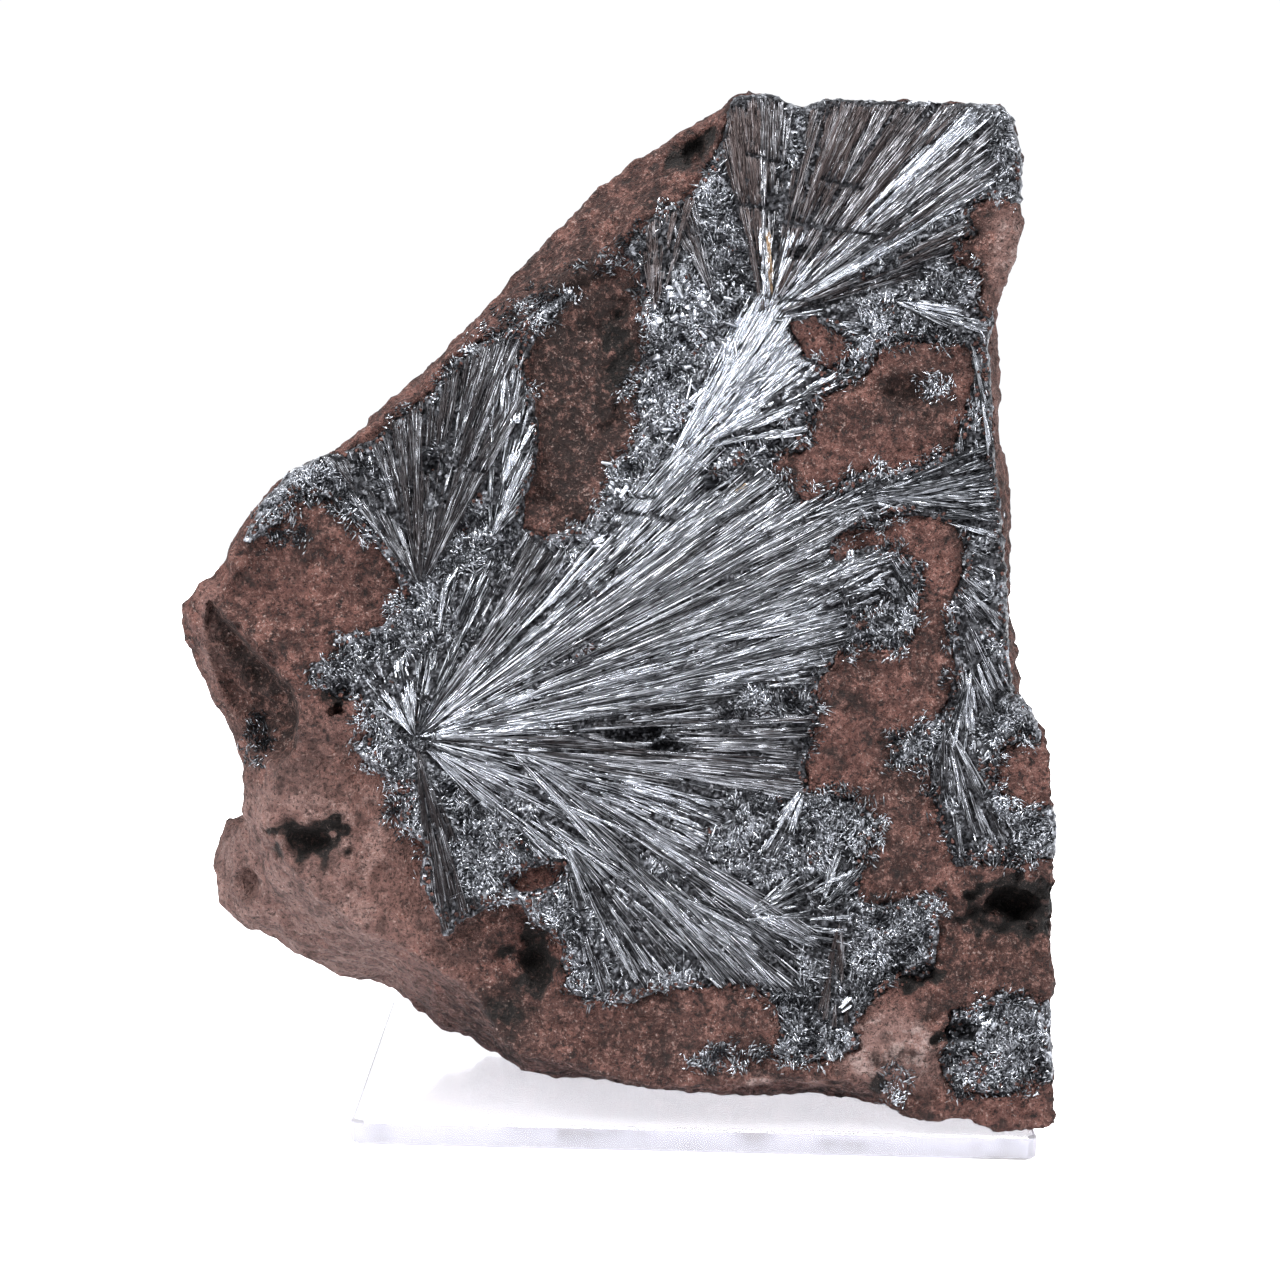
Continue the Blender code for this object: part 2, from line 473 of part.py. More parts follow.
def spray(u, v, start, end, reach, ridges):
    """A fan of V-shaped ridges that spread from one point of the face."""
    columns = 2 * ridges + 1
    body = bmesh.new()
    top = []
    floor = []
    for column in range(columns):
        angle = math.radians(start - SPRAY_LAP + (end - start + 2 * SPRAY_LAP) * column / (columns - 1))
        crest = column % 2
        unevenness = abs(noise.noise(Vector((u, v, column * RAGGED_STEP))))
        lengths = 1.0 - RAGGED_END * unevenness - VALLEY_SHORT * (1 - crest)
        heights = []
        roots = []
        for share, rise in SPRAY_ROWS:
            distance = reach * share * (lengths if share == 1.0 else 1.0)
            lift = (FAN_CREST - FAN_VALLEY) * rise * (1.0 if crest else VALLEY_RISE)
            place = (u + math.cos(angle) * distance, v + math.sin(angle) * distance)
            heights.append(body.verts.new(on_face(*place, FAN_VALLEY + lift)))
            roots.append(body.verts.new(on_face(*place, FAN_ROOT)))
        top.append(heights)
        floor.append(roots)
    for left, right in zip(range(columns - 1), range(1, columns)):
        for row in range(len(SPRAY_ROWS) - 1):
            for sheet in (top, floor):
                body.faces.new((sheet[left][row], sheet[right][row],
                                sheet[right][row + 1], sheet[left][row + 1]))
        for row in (0, -1):
            body.faces.new((top[left][row], top[right][row], floor[right][row], floor[left][row]))
    for side in (0, -1):
        for row in range(len(SPRAY_ROWS) - 1):
            body.faces.new((top[side][row], top[side][row + 1], floor[side][row + 1], floor[side][row]))
    bmesh.ops.triangulate(body, faces=body.faces)
    return solid("spray", body)


def blade(u, v, degrees, length, width):
    """One crystal: a four-sided prism that lies in the felt and ends in a point."""
    angle = math.radians(degrees)
    along = Vector((math.cos(angle), math.sin(angle), -BLADE_SLOPE))
    across = Vector((-math.sin(angle), math.cos(angle), 0)) * width / 2
    depth = Vector((0, 0, BLADE_THICK))
    root = Vector((u, v, BLADE_ROOT))
    body = bmesh.new()
    section = [across, depth, -across, -depth]
    near = [body.verts.new(on_face(*(root + corner))) for corner in section]
    far = [body.verts.new(on_face(*(root + along * length * BLADE_SHOULDER + corner))) for corner in section]
    tips = [body.verts.new(on_face(*(root + along * length * share))) for share in BLADE_ENDS]
    for index in range(4):
        after = (index + 1) % 4
        body.faces.new((near[index], near[after], far[after], far[index]))
        body.faces.new((near[after], near[index], tips[0]))
        body.faces.new((far[index], far[after], tips[1]))
    return solid("blade", body)


def gathered(name, pieces):
    """One object that holds every piece, overlapping as they are."""
    body = bmesh.new()
    for piece in pieces:
        body.from_mesh(piece.data)
        bpy.data.objects.remove(piece)
    mesh = bpy.data.meshes.new(name)
    body.to_mesh(mesh)
    body.free()
    made = bpy.data.objects.new(name, mesh)
    bpy.context.collection.objects.link(made)
    return made


def needle_crust(name, outline, sprays, blades, borders):
    """Felt, sprays and single crystals grown together, trimmed to the face that they cover."""
    stencil = prism("stencil", outline, -REACH, CRUST_BACK)
    for border in borders:
        combine(stencil, prism("border", grown(border, CLEARANCE / MM), -2 * REACH, 2 * REACH), "DIFFERENCE")
    felt = prism("felt", felt_sheet(), CRUST_FELT, CRUST_BACK + FELT_UNDER)
    fans = [spray(*numbers) for numbers in sprays]
    crystals = [blade(*numbers) for numbers in blades]
    crust = gathered(name, [felt, *fans, *crystals])
    combine(crust, stencil, "INTERSECT", overlapping=True)
    return crust


def display_base():
    """A square of clear sheet with eased corners and edges."""
    body = bmesh.new()
    bmesh.ops.create_cube(body, size=1.0)
    size = Vector((BASE_SIDE, BASE_SIDE, BASE_THICKNESS))
    bmesh.ops.scale(body, vec=size, verts=body.verts)
    bmesh.ops.translate(body, vec=(0, 0, BASE_THICKNESS / 2), verts=body.verts)
    upright = [edge for edge in body.edges if abs(edge.verts[0].co.z - edge.verts[1].co.z) > MM]
    bmesh.ops.bevel(body, geom=upright, offset=BASE_CORNER, segments=4, profile=0.5, affect="EDGES")
    flats = [edge for edge in body.edges if abs(edge.verts[0].co.z - edge.verts[1].co.z) < MM / 10]
    bmesh.ops.bevel(body, geom=flats, offset=BASE_EDGE, segments=1, profile=0.5, affect="EDGES")
    return solid("display_base", body)


def thinned(piece, share):
    """Drop the needless points that the Booleans leave in flat places, and the slivers."""
    body = bmesh.new()
    body.from_mesh(piece.data)
    bmesh.ops.remove_doubles(body, verts=body.verts, dist=MERGE)
    bmesh.ops.triangulate(body, faces=body.faces)
    body.to_mesh(piece.data)
    body.free()
    step = piece.modifiers.new("thin", "DECIMATE")
    step.ratio = share
    thin = evaluated(piece)
    piece.modifiers.remove(step)
    piece.data = thin
    body = bmesh.new()
    body.from_mesh(piece.data)
    bmesh.ops.dissolve_degenerate(body, dist=MERGE, edges=body.edges)
    bmesh.ops.triangulate(body, faces=body.faces)
    body.to_mesh(piece.data)
    body.free()


def placed(piece, finish, share):
    """The piece as laid out, thinned, moved to its place in the part and coloured."""
    thinned(piece, share)
    piece.data.transform(face_frame())
    piece.data.materials.clear()
    piece.data.materials.append(finish)
    print(piece.name, len(piece.data.polygons), "triangles")


def seat_plane():
    """The plane just above the sheet, and downward, as laid out."""
    into_layout = face_frame().inverted()
    seat = into_layout @ Vector((0, 0, BASE_THICKNESS + CLEARANCE))
    return seat, into_layout.to_3x3() @ Vector((0, 0, -1))


def main():
    for item in list(bpy.data.objects):
        bpy.data.objects.remove(item)

    rock = stone_body()
    rock.name = "matrix_rock"
    combine(rock, crust_bed(), "DIFFERENCE")
    combine(rock, prism("notch", NOTCH, NOTCH_FRONT, 2 * BACK_DEPTH), "DIFFERENCE")
    for numbers in PITS:
        combine(rock, pit(*numbers), "DIFFERENCE")
    placed(rock, material("brown rock", (0.105, 0.050, 0.038), 0.85, 0.0), ROCK_KEPT)

    rim = [(u, v) for u, v, _ in RIM]
    needles = material("pyrolusite", (0.16, 0.17, 0.19), 0.32, 0.9)
    crust = needle_crust("pyrolusite_crust", rim, SPRAYS, BLADES, [*ROCK_PATCHES.values(), CORNER_PATCH])
    placed(crust, needles, CRUST_KEPT)
    corner_outline = grown(CORNER_PATCH, -CLEARANCE / MM)
    corner = needle_crust("pyrolusite_corner_patch", corner_outline, CORNER_SPRAYS, CORNER_BLADES, [])
    placed(corner, needles, CRUST_KEPT)

    base = display_base()
    base.data.materials.append(material("clear acrylic", (0.95, 0.96, 0.98), 0.04, 0.0, 1.0))


main()
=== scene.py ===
# %% [markdown]
# # A pyrolusite specimen
# Pyrolusite is manganese oxide. Here it grew as sprays of fine metallic needles over one face of a
# brown rock, and the rock stands on a square of clear acrylic. The CAD parts give the sizes, and this
# script lays the real surface over them: grainy rock, a dark bed, and many thousands of needles.

# %% Open the frame
import math

import bpy
import numpy as np
from mathutils import Matrix, Vector
from mathutils.bvhtree import BVHTree


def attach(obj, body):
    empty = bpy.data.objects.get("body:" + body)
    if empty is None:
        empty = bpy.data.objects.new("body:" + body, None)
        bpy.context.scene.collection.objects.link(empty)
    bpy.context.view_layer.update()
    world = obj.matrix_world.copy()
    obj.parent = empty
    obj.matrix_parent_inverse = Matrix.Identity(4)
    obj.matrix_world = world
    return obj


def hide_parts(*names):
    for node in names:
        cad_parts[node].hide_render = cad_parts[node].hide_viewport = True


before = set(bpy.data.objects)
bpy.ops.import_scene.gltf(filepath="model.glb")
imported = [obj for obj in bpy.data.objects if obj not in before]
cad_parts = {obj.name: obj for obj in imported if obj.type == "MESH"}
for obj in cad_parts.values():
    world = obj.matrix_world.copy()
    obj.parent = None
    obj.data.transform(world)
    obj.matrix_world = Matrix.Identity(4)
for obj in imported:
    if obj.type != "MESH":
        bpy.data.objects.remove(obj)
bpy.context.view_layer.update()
chance = np.random.default_rng(7)
MM = 0.001
print("CAD parts:", ", ".join(sorted(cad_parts)))

# %% [markdown]
# ## The face as a sheet of paper
# All the crystals lie on one flat face that leans back a little. It is easiest to place them as on a
# sheet of paper: u to the right, v up and w into the stone, in millimetres. One matrix then carries
# the sheet to where the stone stands.

# %% The face's own frame
FACE_FOOT = Vector((-0.0053, -0.0352, 0.00135))
FACE_LEAN = math.radians(7.0)
FACE_ROLL = math.radians(1.2)
FACE_YAW = math.radians(0.78)

slope_up = Vector((0, math.sin(FACE_LEAN), math.cos(FACE_LEAN)))
face_right = Vector((1, 0, 0)) * math.cos(FACE_ROLL) + slope_up * math.sin(FACE_ROLL)
face_in = Vector((0, math.cos(FACE_LEAN), -math.sin(FACE_LEAN)))
face_up = face_right.cross(face_in)
turn = Matrix.Rotation(FACE_YAW, 4, "Z")
FACE = Matrix.Translation(FACE_FOOT) @ turn @ Matrix((face_right, face_in, face_up)).transposed().to_4x4()
FACE_TURN = np.array(FACE.to_3x3())
FACE_PLACE = np.array(FACE.translation)


def to_world(points):
    """Points u, v, w in millimetres as metres in the part's frame."""
    layout = np.asarray(points, float)[:, [0, 2, 1]] * MM
    return layout @ FACE_TURN.T + FACE_PLACE


def to_face(points):
    """Points in metres as u, v, w in millimetres."""
    layout = (np.asarray(points, float) - FACE_PLACE) @ FACE_TURN
    return layout[:, [0, 2, 1]] / MM


print("the face's foot stands at", [round(c / MM, 1) for c in FACE_FOOT], "mm")

# %% [markdown]
# ## Hand tools
# Blender's operators act on what is selected, so each one starts from a clean selection. A CAD part
# comes as loose triangles: a copy of it is merged before anything is done to it, and the part itself
# is left alone.

# %% Selecting, copying and applying
MERGE_DISTANCE = 0.001 * MM


def pick(piece):
    """Make one piece the only selected one."""
    bpy.ops.object.select_all(action="DESELECT")
    piece.select_set(True)
    bpy.context.view_layer.objects.active = piece


def added(name, data):
    """A new object in the scene for a mesh, a light or a camera."""
    piece = bpy.data.objects.new(name, data)
    bpy.context.collection.objects.link(piece)
    return piece


def copy_of(node, name):
    """A merged copy of a CAD part, with its place in its mesh."""
    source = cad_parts[node]
    piece = added(name, source.data.copy())
    piece.data.transform(source.matrix_world)
    pick(piece)
    bpy.ops.object.mode_set(mode="EDIT")
    bpy.ops.mesh.select_all(action="SELECT")
    bpy.ops.mesh.remove_doubles(threshold=MERGE_DISTANCE)
    bpy.ops.object.mode_set(mode="OBJECT")
    piece.data.materials.clear()
    return piece


def apply_modifier(piece, kind, **settings):
    """Add a modifier with its settings and apply it."""
    step = piece.modifiers.new(kind.title(), kind)
    for key, value in settings.items():
        setattr(step, key, value)
    pick(piece)
    bpy.ops.object.modifier_apply(modifier=step.name)


def clouds(name, size, detail=2):
    """A soft noise for displacement, with features of the given size in metres."""
    pattern = bpy.data.textures.new(name, "CLOUDS")
    pattern.noise_scale = size
    pattern.noise_depth = detail
    return pattern


# %% [markdown]
# ### Points and paint
# A mesh's points are read and written all at once as an array, which is far quicker than one by one.
# What a material has to know about a place, such as how near the crust is, is painted on the points.

# %% Reading, moving and painting points


def points_of(piece):
    """The piece's points as an array of metres."""
    flat = np.empty(len(piece.data.vertices) * 3)
    piece.data.vertices.foreach_get("co", flat)
    return flat.reshape(-1, 3)


def face_points(piece):
    """The piece's points as u, v, w in millimetres."""
    return to_face(points_of(piece))


def move_points(piece, place):
    """Move the piece's points to u, v, w in millimetres."""
    piece.data.vertices.foreach_set("co", to_world(place).ravel())
    piece.data.update()


def paint(piece, name, values):
    """Give every point of the piece a number that its material can read."""
    layer = piece.data.attributes.new(name, "FLOAT", "POINT")
    layer.data.foreach_set("value", np.asarray(values, np.float32))


# %% [markdown]
# ## Shader arithmetic
# A material is easier to read as sums than as a web of nodes. `Value` wraps one socket and lets it be
# added, multiplied and ramped like a number.

# %% A socket that can be reckoned with


class Value:
    """A number that changes over the surface."""

    def __init__(self, finish, socket):
        self.finish = finish
        self.socket = socket

    def maths(self, operation, first, second):
        made = self.finish.node("ShaderNodeMath", {"operation": operation}, {0: first, 1: second})
        return Value(self.finish, made.outputs[0])

    def __add__(self, other):
        return self.maths("ADD", self, other)

    def __mul__(self, other):
        return self.maths("MULTIPLY", self, other)

    def __sub__(self, other):
        return self.maths("SUBTRACT", self, other)

    def __rsub__(self, other):
        return self.maths("SUBTRACT", other, self)

    __radd__ = __add__
    __rmul__ = __mul__

    def ramp(self, low, high):
        """0 below low, 1 above high and smooth between."""
        settings = {"interpolation_type": "SMOOTHSTEP"}
        sockets = {"Value": self, "From Min": low, "From Max": high, "To Min": 0.0, "To Max": 1.0}
        return Value(self.finish, self.finish.node("ShaderNodeMapRange", settings, sockets).outputs[0])


# %% [markdown]
# ### A material made of nodes
# `Finish` makes every other node from its type, its settings and what goes into its sockets. Patterns read
# Object coordinates, so they fill the piece through and through and never slide over it.

# %% A material and its nodes


class Finish:
    """One material, built up from nodes around a Principled shader."""

    def __init__(self, name, **constants):
        self.material = bpy.data.materials.new(name)
        self.material.use_nodes = True
        self.nodes = self.material.node_tree.nodes
        self.links = self.material.node_tree.links
        self.shader = self.nodes["Principled BSDF"]
        self.put(self.shader, {key.replace("_", " "): value for key, value in constants.items()})
        self.place = self.node("ShaderNodeTexCoord", {}, {}).outputs["Object"]

    def put(self, node, sockets):
        """Set each socket to a number or colour, or link it to a value or another socket."""
        for key, value in sockets.items():
            value = value.socket if isinstance(value, Value) else value
            if isinstance(value, bpy.types.NodeSocket):
                self.links.new(value, node.inputs[key])
            else:
                node.inputs[key].default_value = value

    def node(self, kind, settings, sockets):
        made = self.nodes.new(kind)
        for key, value in settings.items():
            setattr(made, key, value)
        self.put(made, sockets)
        return made

    def vectors(self, operation, first, second=(0, 0, 0)):
        """A sum on vectors."""
        return self.node("ShaderNodeVectorMath", {"operation": operation}, {0: first, 1: second}).outputs[0]

    def noise(self, size, detail=4.0, roughness=0.7, seed=0.0):
        """Noise with features of the given size in millimetres."""
        moved = self.vectors("ADD", self.place, (seed, seed, seed))
        sockets = {"Vector": moved, "Scale": 1 / MM / size, "Detail": detail, "Roughness": roughness}
        return Value(self, self.node("ShaderNodeTexNoise", {}, sockets).outputs["Fac"])

    def painted(self, name):
        """A number painted on the piece's points."""
        return Value(self, self.node("ShaderNodeAttribute", {"attribute_name": name}, {}).outputs["Fac"])

    def blend(self, factor, first, second):
        """A colour between two colours."""
        settings = {"data_type": "RGBA", "clamp_factor": True}
        return self.node("ShaderNodeMix", settings, {0: factor, 6: first, 7: second}).outputs[2]

    def layered(self, under, layers):
        """A colour under layers, each one a share and the red, green and blue it brings."""
        for share, hue in layers:
            under = self.blend(share, under, colour(*hue))
        return under

    def bump(self, height, depth):
        """A normal that follows a height, with its depth in millimetres."""
        sockets = {"Height": height, "Distance": depth * MM, "Strength": 1.0}
        return self.node("ShaderNodeBump", {}, sockets).outputs["Normal"]

    def facets(self, size, tilt):
        """Normals turned at random in each cell of the given size in millimetres, as crystal faces are."""
        cells = self.node("ShaderNodeTexVoronoi", {}, {"Vector": self.place, "Scale": 1 / MM / size})
        turned = self.vectors("SUBTRACT", cells.outputs["Color"], (0.5, 0.5, 0.5))
        normal = self.node("ShaderNodeNewGeometry", {}, {}).outputs["Normal"]
        tilted = self.vectors("ADD", normal, self.vectors("MULTIPLY", turned, (2 * tilt,) * 3))
        return self.vectors("NORMALIZE", tilted)

    def finish(self, **sockets):
        """Link what changes over the surface to the shader."""
        self.put(self.shader, {key.replace("_", " "): value for key, value in sockets.items()})
        return self.material


def colour(red, green, blue):
    """A colour with full alpha."""
    return (red, green, blue, 1.0)


# %% [markdown]
# ## The lie of the crust
# The needles must lie on the crust wherever it is and nowhere else. The CAD crust already has that
# outline, with its sprays as coarse ridges. Looking straight down on it from the front at a fine grid
# of points gives a map of its height, which every needle then reads. The ridges are pressed down to
# about half, because the needles themselves will build them up again.

# %% A height map of the crust
FELT_LEVEL = 0.6
PRESS = 0.5
GRID_STEP = 0.25
GRID_U = np.arange(-46.0, 44.0, GRID_STEP)
GRID_V = np.arange(-2.0, 108.0, GRID_STEP)
EYE_LEVEL = -6.0


def faces_of(piece):
    """The corners of each face of the piece."""
    return [tuple(face.vertices) for face in piece.data.polygons]


def pressed_copy(node, name):
    """A copy of a crust with its relief above the felt pressed down."""
    piece = copy_of(node, name)
    place = face_points(piece)
    depth = place[:, 2]
    place[:, 2] = np.where(depth < FELT_LEVEL, FELT_LEVEL + (depth - FELT_LEVEL) * PRESS, depth)
    move_points(piece, place)
    return piece


def height_map(piece):
    """Depth of the piece's front at each grid point, and not-a-number beside it."""
    tree = BVHTree.FromPolygons([Vector(point) for point in face_points(piece)], faces_of(piece))
    depth = np.full((len(GRID_V), len(GRID_U)), np.nan)
    ahead = Vector((0, 0, 1))
    for row, v in enumerate(GRID_V):
        for column, u in enumerate(GRID_U):
            hit = tree.ray_cast(Vector((u, v, EYE_LEVEL)), ahead)[0]
            if hit is not None:
                depth[row, column] = hit.z
    return depth


needle_bed = pressed_copy("pyrolusite_crust", "needle_bed")
corner_bed = pressed_copy("pyrolusite_corner_patch", "corner_bed")
crust_map = height_map(needle_bed)
corner_map = height_map(corner_bed)
whole = np.isfinite(crust_map) | np.isfinite(corner_map)
print("crust covers", round(np.isfinite(crust_map).sum() * GRID_STEP**2), "mm2 of the face")

# %% [markdown]
# ### Softer and rougher maps
# Nothing in nature ends at a ruled line. A map can be softened, so that a colour fades towards an edge,
# and a map of slow noise can be added to it, so that the edge wanders.

# %% Soften, roughen and read maps


def spread(mask, times):
    """Soften a 0 and 1 map by averaging neighbours, again and again."""
    soft = mask.astype(float)
    for _ in range(times):
        total = soft
        for stride, axis in ((1, 0), (-1, 0), (1, 1), (-1, 1)):
            total = total + np.roll(soft, stride, axis)
        soft = total / 5
    return soft


def slow_noise(size, seed):
    """A map of smooth noise from 0 to 1 with features of the given size in millimetres."""
    rough = np.random.default_rng(seed).normal(0, 1, (len(GRID_V), len(GRID_U)))
    waves_v, waves_u = (np.fft.fftfreq(len(line), GRID_STEP) for line in (GRID_V, GRID_U))
    reach = waves_v[:, None] ** 2 + waves_u[None] ** 2
    soft = np.fft.ifft2(np.fft.fft2(rough) * np.exp(-reach * (2.2 * size) ** 2)).real
    return np.clip(0.5 + 0.22 * soft / soft.std(), 0, 1)


def cell_of(u, v):
    """Row and column of the grid point nearest to each point."""
    column = np.clip(np.round((u - GRID_U[0]) / GRID_STEP).astype(int), 0, len(GRID_U) - 1)
    row = np.clip(np.round((v - GRID_V[0]) / GRID_STEP).astype(int), 0, len(GRID_V) - 1)
    return row, column


def read_map(grid, u, v):
    """The map's value nearest to each point."""
    return grid[cell_of(u, v)]


# %% [markdown]
# ## The brown rock
# The rock is a fine-grained, iron-stained stone that broke rather than wore, so its surface is rough at
# every scale. The CAD solid gives the big form. Rock and crust grew together, so a copy of the crust is
# swollen, sunk a little and joined to the rock: that closes the seam between them. A voxel remesh then
# makes one even skin.

# %% Give the rock an even skin
ROCK_VOXEL = 0.44
BED_SWELL = 0.3
SEAM_SWELL = 0.35
SEAM_DEPTH = 0.75

rock = copy_of("matrix_rock", "rock")
fillings = []
for bed in (needle_bed, corner_bed):
    filling = added("filling", bed.data.copy())
    apply_modifier(filling, "DISPLACE", strength=2 * SEAM_SWELL * MM, mid_level=0.5)
    place = face_points(filling)
    place[:, 2] += SEAM_SWELL + SEAM_DEPTH - BED_SWELL
    move_points(filling, place)
    fillings.append(filling)
pick(rock)
for filling in fillings:
    filling.select_set(True)
bpy.ops.object.join()
apply_modifier(rock, "REMESH", mode="VOXEL", voxel_size=ROCK_VOXEL * MM, adaptivity=0.0)
print("even skin:", len(rock.data.polygons), "faces")

# %% [markdown]
# ### Lumps, knobs and grains
# Displacements of three sizes roughen the skin, and the grains stand out most in front, where the rock
# broke last. A decimation then takes faces back where the surface is smooth, most of all behind, where
# nobody looks closely.

# %% Roughen the rock
FRONT_DEPTH = 3.0
BEHIND_DEPTH = 9.0
BEHIND_SHARE = 0.6
ROCK_TRIANGLES = 190000

rock_depth = face_points(rock)[:, 2]
for name, chosen in (("front", rock_depth < FRONT_DEPTH), ("behind", rock_depth > BEHIND_DEPTH)):
    rock.vertex_groups.new(name=name).add(np.nonzero(chosen)[0].tolist(), 1.0, "REPLACE")
lumps, knobs, grains = clouds("lumps", 5 * MM, 3), clouds("knobs", 2.2 * MM), clouds("grains", 0.95 * MM)
layers = ((lumps, 1.8, ""), (knobs, 0.7, ""), (grains, 0.35, ""), (grains, 0.55, "front"))
for pattern, height, where in layers:
    apply_modifier(rock, "DISPLACE", texture=pattern, strength=height * MM, mid_level=0.5, vertex_group=where)
kept_share = ROCK_TRIANGLES / (2 * len(rock.data.polygons))
apply_modifier(rock, "DECIMATE", ratio=kept_share, vertex_group="behind", vertex_group_factor=BEHIND_SHARE)
pick(rock)
bpy.ops.object.shade_smooth()
print("rock:", len(rock.data.polygons), "faces")

# %% [markdown]
# ### Hollows
# Some crystals and grains fell out and left hollows with black walls. Each hollow is an oval on the face:
# where its middle is, half its width and height, and how deep it is. Points inside are pushed into the
# stone, and a soft noise frays the ovals so that none looks drawn.

# %% Where the hollows are
HOLLOWS = [
    (-10.5, 18, 2.3, 3, 0.9), (-33.5, 29.7, 3, 1.8, 0.8), (-31, 31.2, 1.2, 0.8, 1),
    (37.4, 23.4, 4.2, 2.5, 1.7), (27.4, 16.4, 2.4, 1.2, 1.5), (31.8, 10.7, 2, 1.3, 1.5),
    (27.2, 75.2, 3, 2.2, 0.35), (-30.2, 44.5, 1.3, 1, 0.7), (-26.8, 40, 0.8, 0.7, 0.6),
    (4.3, 98.6, 1.5, 1.2, 1), (6.3, 100.1, 1.3, 1.1, 1), (-13, 12.5, 2.4, 1.5, 0.6),
    (-40.3, 24.5, 0.9, 2, 0.6), (-2, 78, 1.4, 4.6, 0.8), (-5, 86.5, 2.2, 1.2, 0.4),
    (-6.5, 70.5, 1.2, 2.2, 0.35), (-17, 10.5, 1.8, 1.2, 0.5), (24, 5.6, 1.4, 1.4, 0.6),
    (-7, 65, 1.2, 1.4, 0.3), (-1, 40.7, 2, 0.8, 1.2), (2.6, 39.3, 1.6, 0.6, 1),
    (3, 70.5, 1.2, 0.6, 0.8), (-21, 68, 0.8, 1.4, 0.7), (16, 88.5, 1.2, 0.5, 0.6),
]
FRAY = 1.8


def from_oval(u, v, middle_u, middle_v, half_u, half_v):
    """How far each point is from the middle of an oval whose rim is at 1."""
    return np.hypot((u - middle_u) / half_u, (v - middle_v) / half_v)


def in_hollow(u, v):
    """How far each point lies inside a hollow, from 0 to the hollow's depth."""
    amount = np.zeros_like(u)
    fray = FRAY * (read_map(slow_noise(0.8, 3), u, v) - 0.5)
    for *oval, deep in HOLLOWS:
        amount = np.maximum(amount, deep * np.clip(1.7 - 1.2 * from_oval(u, v, *oval) + fray, 0.0, 1.0))
    return amount


# %% [markdown]
# ### The groove
# Under the left shoulder the rock broke away in a groove, with a sharp ridge on one side and a low lip on
# the other. Both are drawn as lines, and the depth of each point comes from how far it is from them. Shade
# is painted into the groove's colour too, darkest below the ridge.

# %% A groove between a ridge and a lip
GROOVE_RIDGE = [
    (-43.3, 54.2), (-42.3, 53.3), (-40.8, 51.2), (-39.1, 49.3), (-37.0, 47.2), (-34.8, 45.5), (-34.1, 42.4),
    (-34.3, 39.5),
]
GROOVE_LIP = [(-36.0, 37.5), (-37.8, 38.0), (-39.8, 40.5), (-41.9, 44.0), (-43.4, 47.5), (-44.0, 51.0)]
GROOVE_DEPTH = 3.0
GROOVE_RIM = 0.6
RIDGE_WIDTH = 0.6
RIM_WIDTH = 0.9
LIP_WIDTH = 3.0
SHADE_WIDTH = 6.0


def distance_to(line, u, v):
    """How far each point is from a line through several points."""
    nearest = np.full(len(u), np.inf)
    for (u0, v0), (u1, v1) in zip(line, line[1:]):
        du, dv = u1 - u0, v1 - v0
        along = np.clip(((u - u0) * du + (v - v0) * dv) / (du**2 + dv**2), 0, 1)
        nearest = np.minimum(nearest, np.hypot(u - u0 - along * du, v - v0 - along * dv))
    return nearest


def within(outline, u, v):
    """Whether each point lies inside a closed outline."""
    inside = np.zeros(len(u), bool)
    for (u0, v0), (u1, v1) in zip(outline, outline[1:] + outline[:1]):
        inside ^= ((v0 > v) != (v1 > v)) & (u < u0 + (v - v0) / (v1 - v0) * (u1 - u0))
    return inside


def in_groove(u, v):
    """The groove's depth, steep below its ridge and easing up to its lip, and how much shade is painted into
    it.
    """
    from_ridge = distance_to(GROOVE_RIDGE, u, v)
    near_lip = np.clip(distance_to(GROOVE_LIP, u, v) / LIP_WIDTH, 0, 1) ** 0.7
    inside = within(GROOVE_RIDGE + GROOVE_LIP, u, v)
    depth = GROOVE_DEPTH * inside * near_lip * np.clip(from_ridge / RIDGE_WIDTH, 0, 1)
    depth -= GROOVE_RIM * np.exp(-((from_ridge / RIM_WIDTH) ** 2))
    return depth, inside * near_lip * np.clip(1.25 - from_ridge / SHADE_WIDTH, 0, 1)


# %% [markdown]
# ### The broken edge
# The rock's left edge broke a little less evenly than the CAD solid shows. Each nudge draws the points
# around it a short way along the face: where it is, how far it reaches, and its stride to the right and up.

# %% Push in the hollows, the groove and the edge
NUDGES = [
    (-25.5, 15.5, 3.5, 0, 0.8), (-21, 13.5, 3.5, 0, 1), (-16.5, 10.5, 3.5, 0, 1),
    (-42, 24, 3, -0.9, 0), (-41.5, 31, 2, -0.7, 0.5), (-45.5, 52, 3.5, -0.7, 0),
    (-43, 56.8, 2.3, 0.8, -0.5),
]


def nudged(place):
    """Points drawn a little way along the face near each nudge."""
    place = place.copy()
    for middle_u, middle_v, reach, along_u, along_v in NUDGES:
        away = ((place[:, 0] - middle_u) ** 2 + (place[:, 1] - middle_v) ** 2) / reach**2
        place[:, :2] += np.exp(-away)[:, None] * np.array([along_u, along_v])
    return place


HOLLOW_REACH = 7.0
HOLLOW_FADE = 4.0
DEEPEST_BED = 5.0

rock_face = nudged(face_points(rock))
at_front = np.clip(1.0 - (rock_face[:, 2] - HOLLOW_REACH) / HOLLOW_FADE, 0.0, 1.0)
sunk = in_hollow(rock_face[:, 0], rock_face[:, 1]) * at_front
groove, groove_shade = in_groove(rock_face[:, 0], rock_face[:, 1])
rock_face[:, 2] += sunk + groove * at_front
move_points(rock, rock_face)
ground = height_map(rock)
on_rock = np.isfinite(ground)
for bed_map in (crust_map, corner_map):
    ground = np.where(np.isfinite(bed_map), np.minimum(bed_map - BED_SWELL, DEEPEST_BED), ground)
print("deepest hollow:", round(float(sunk.max()), 2), "mm")
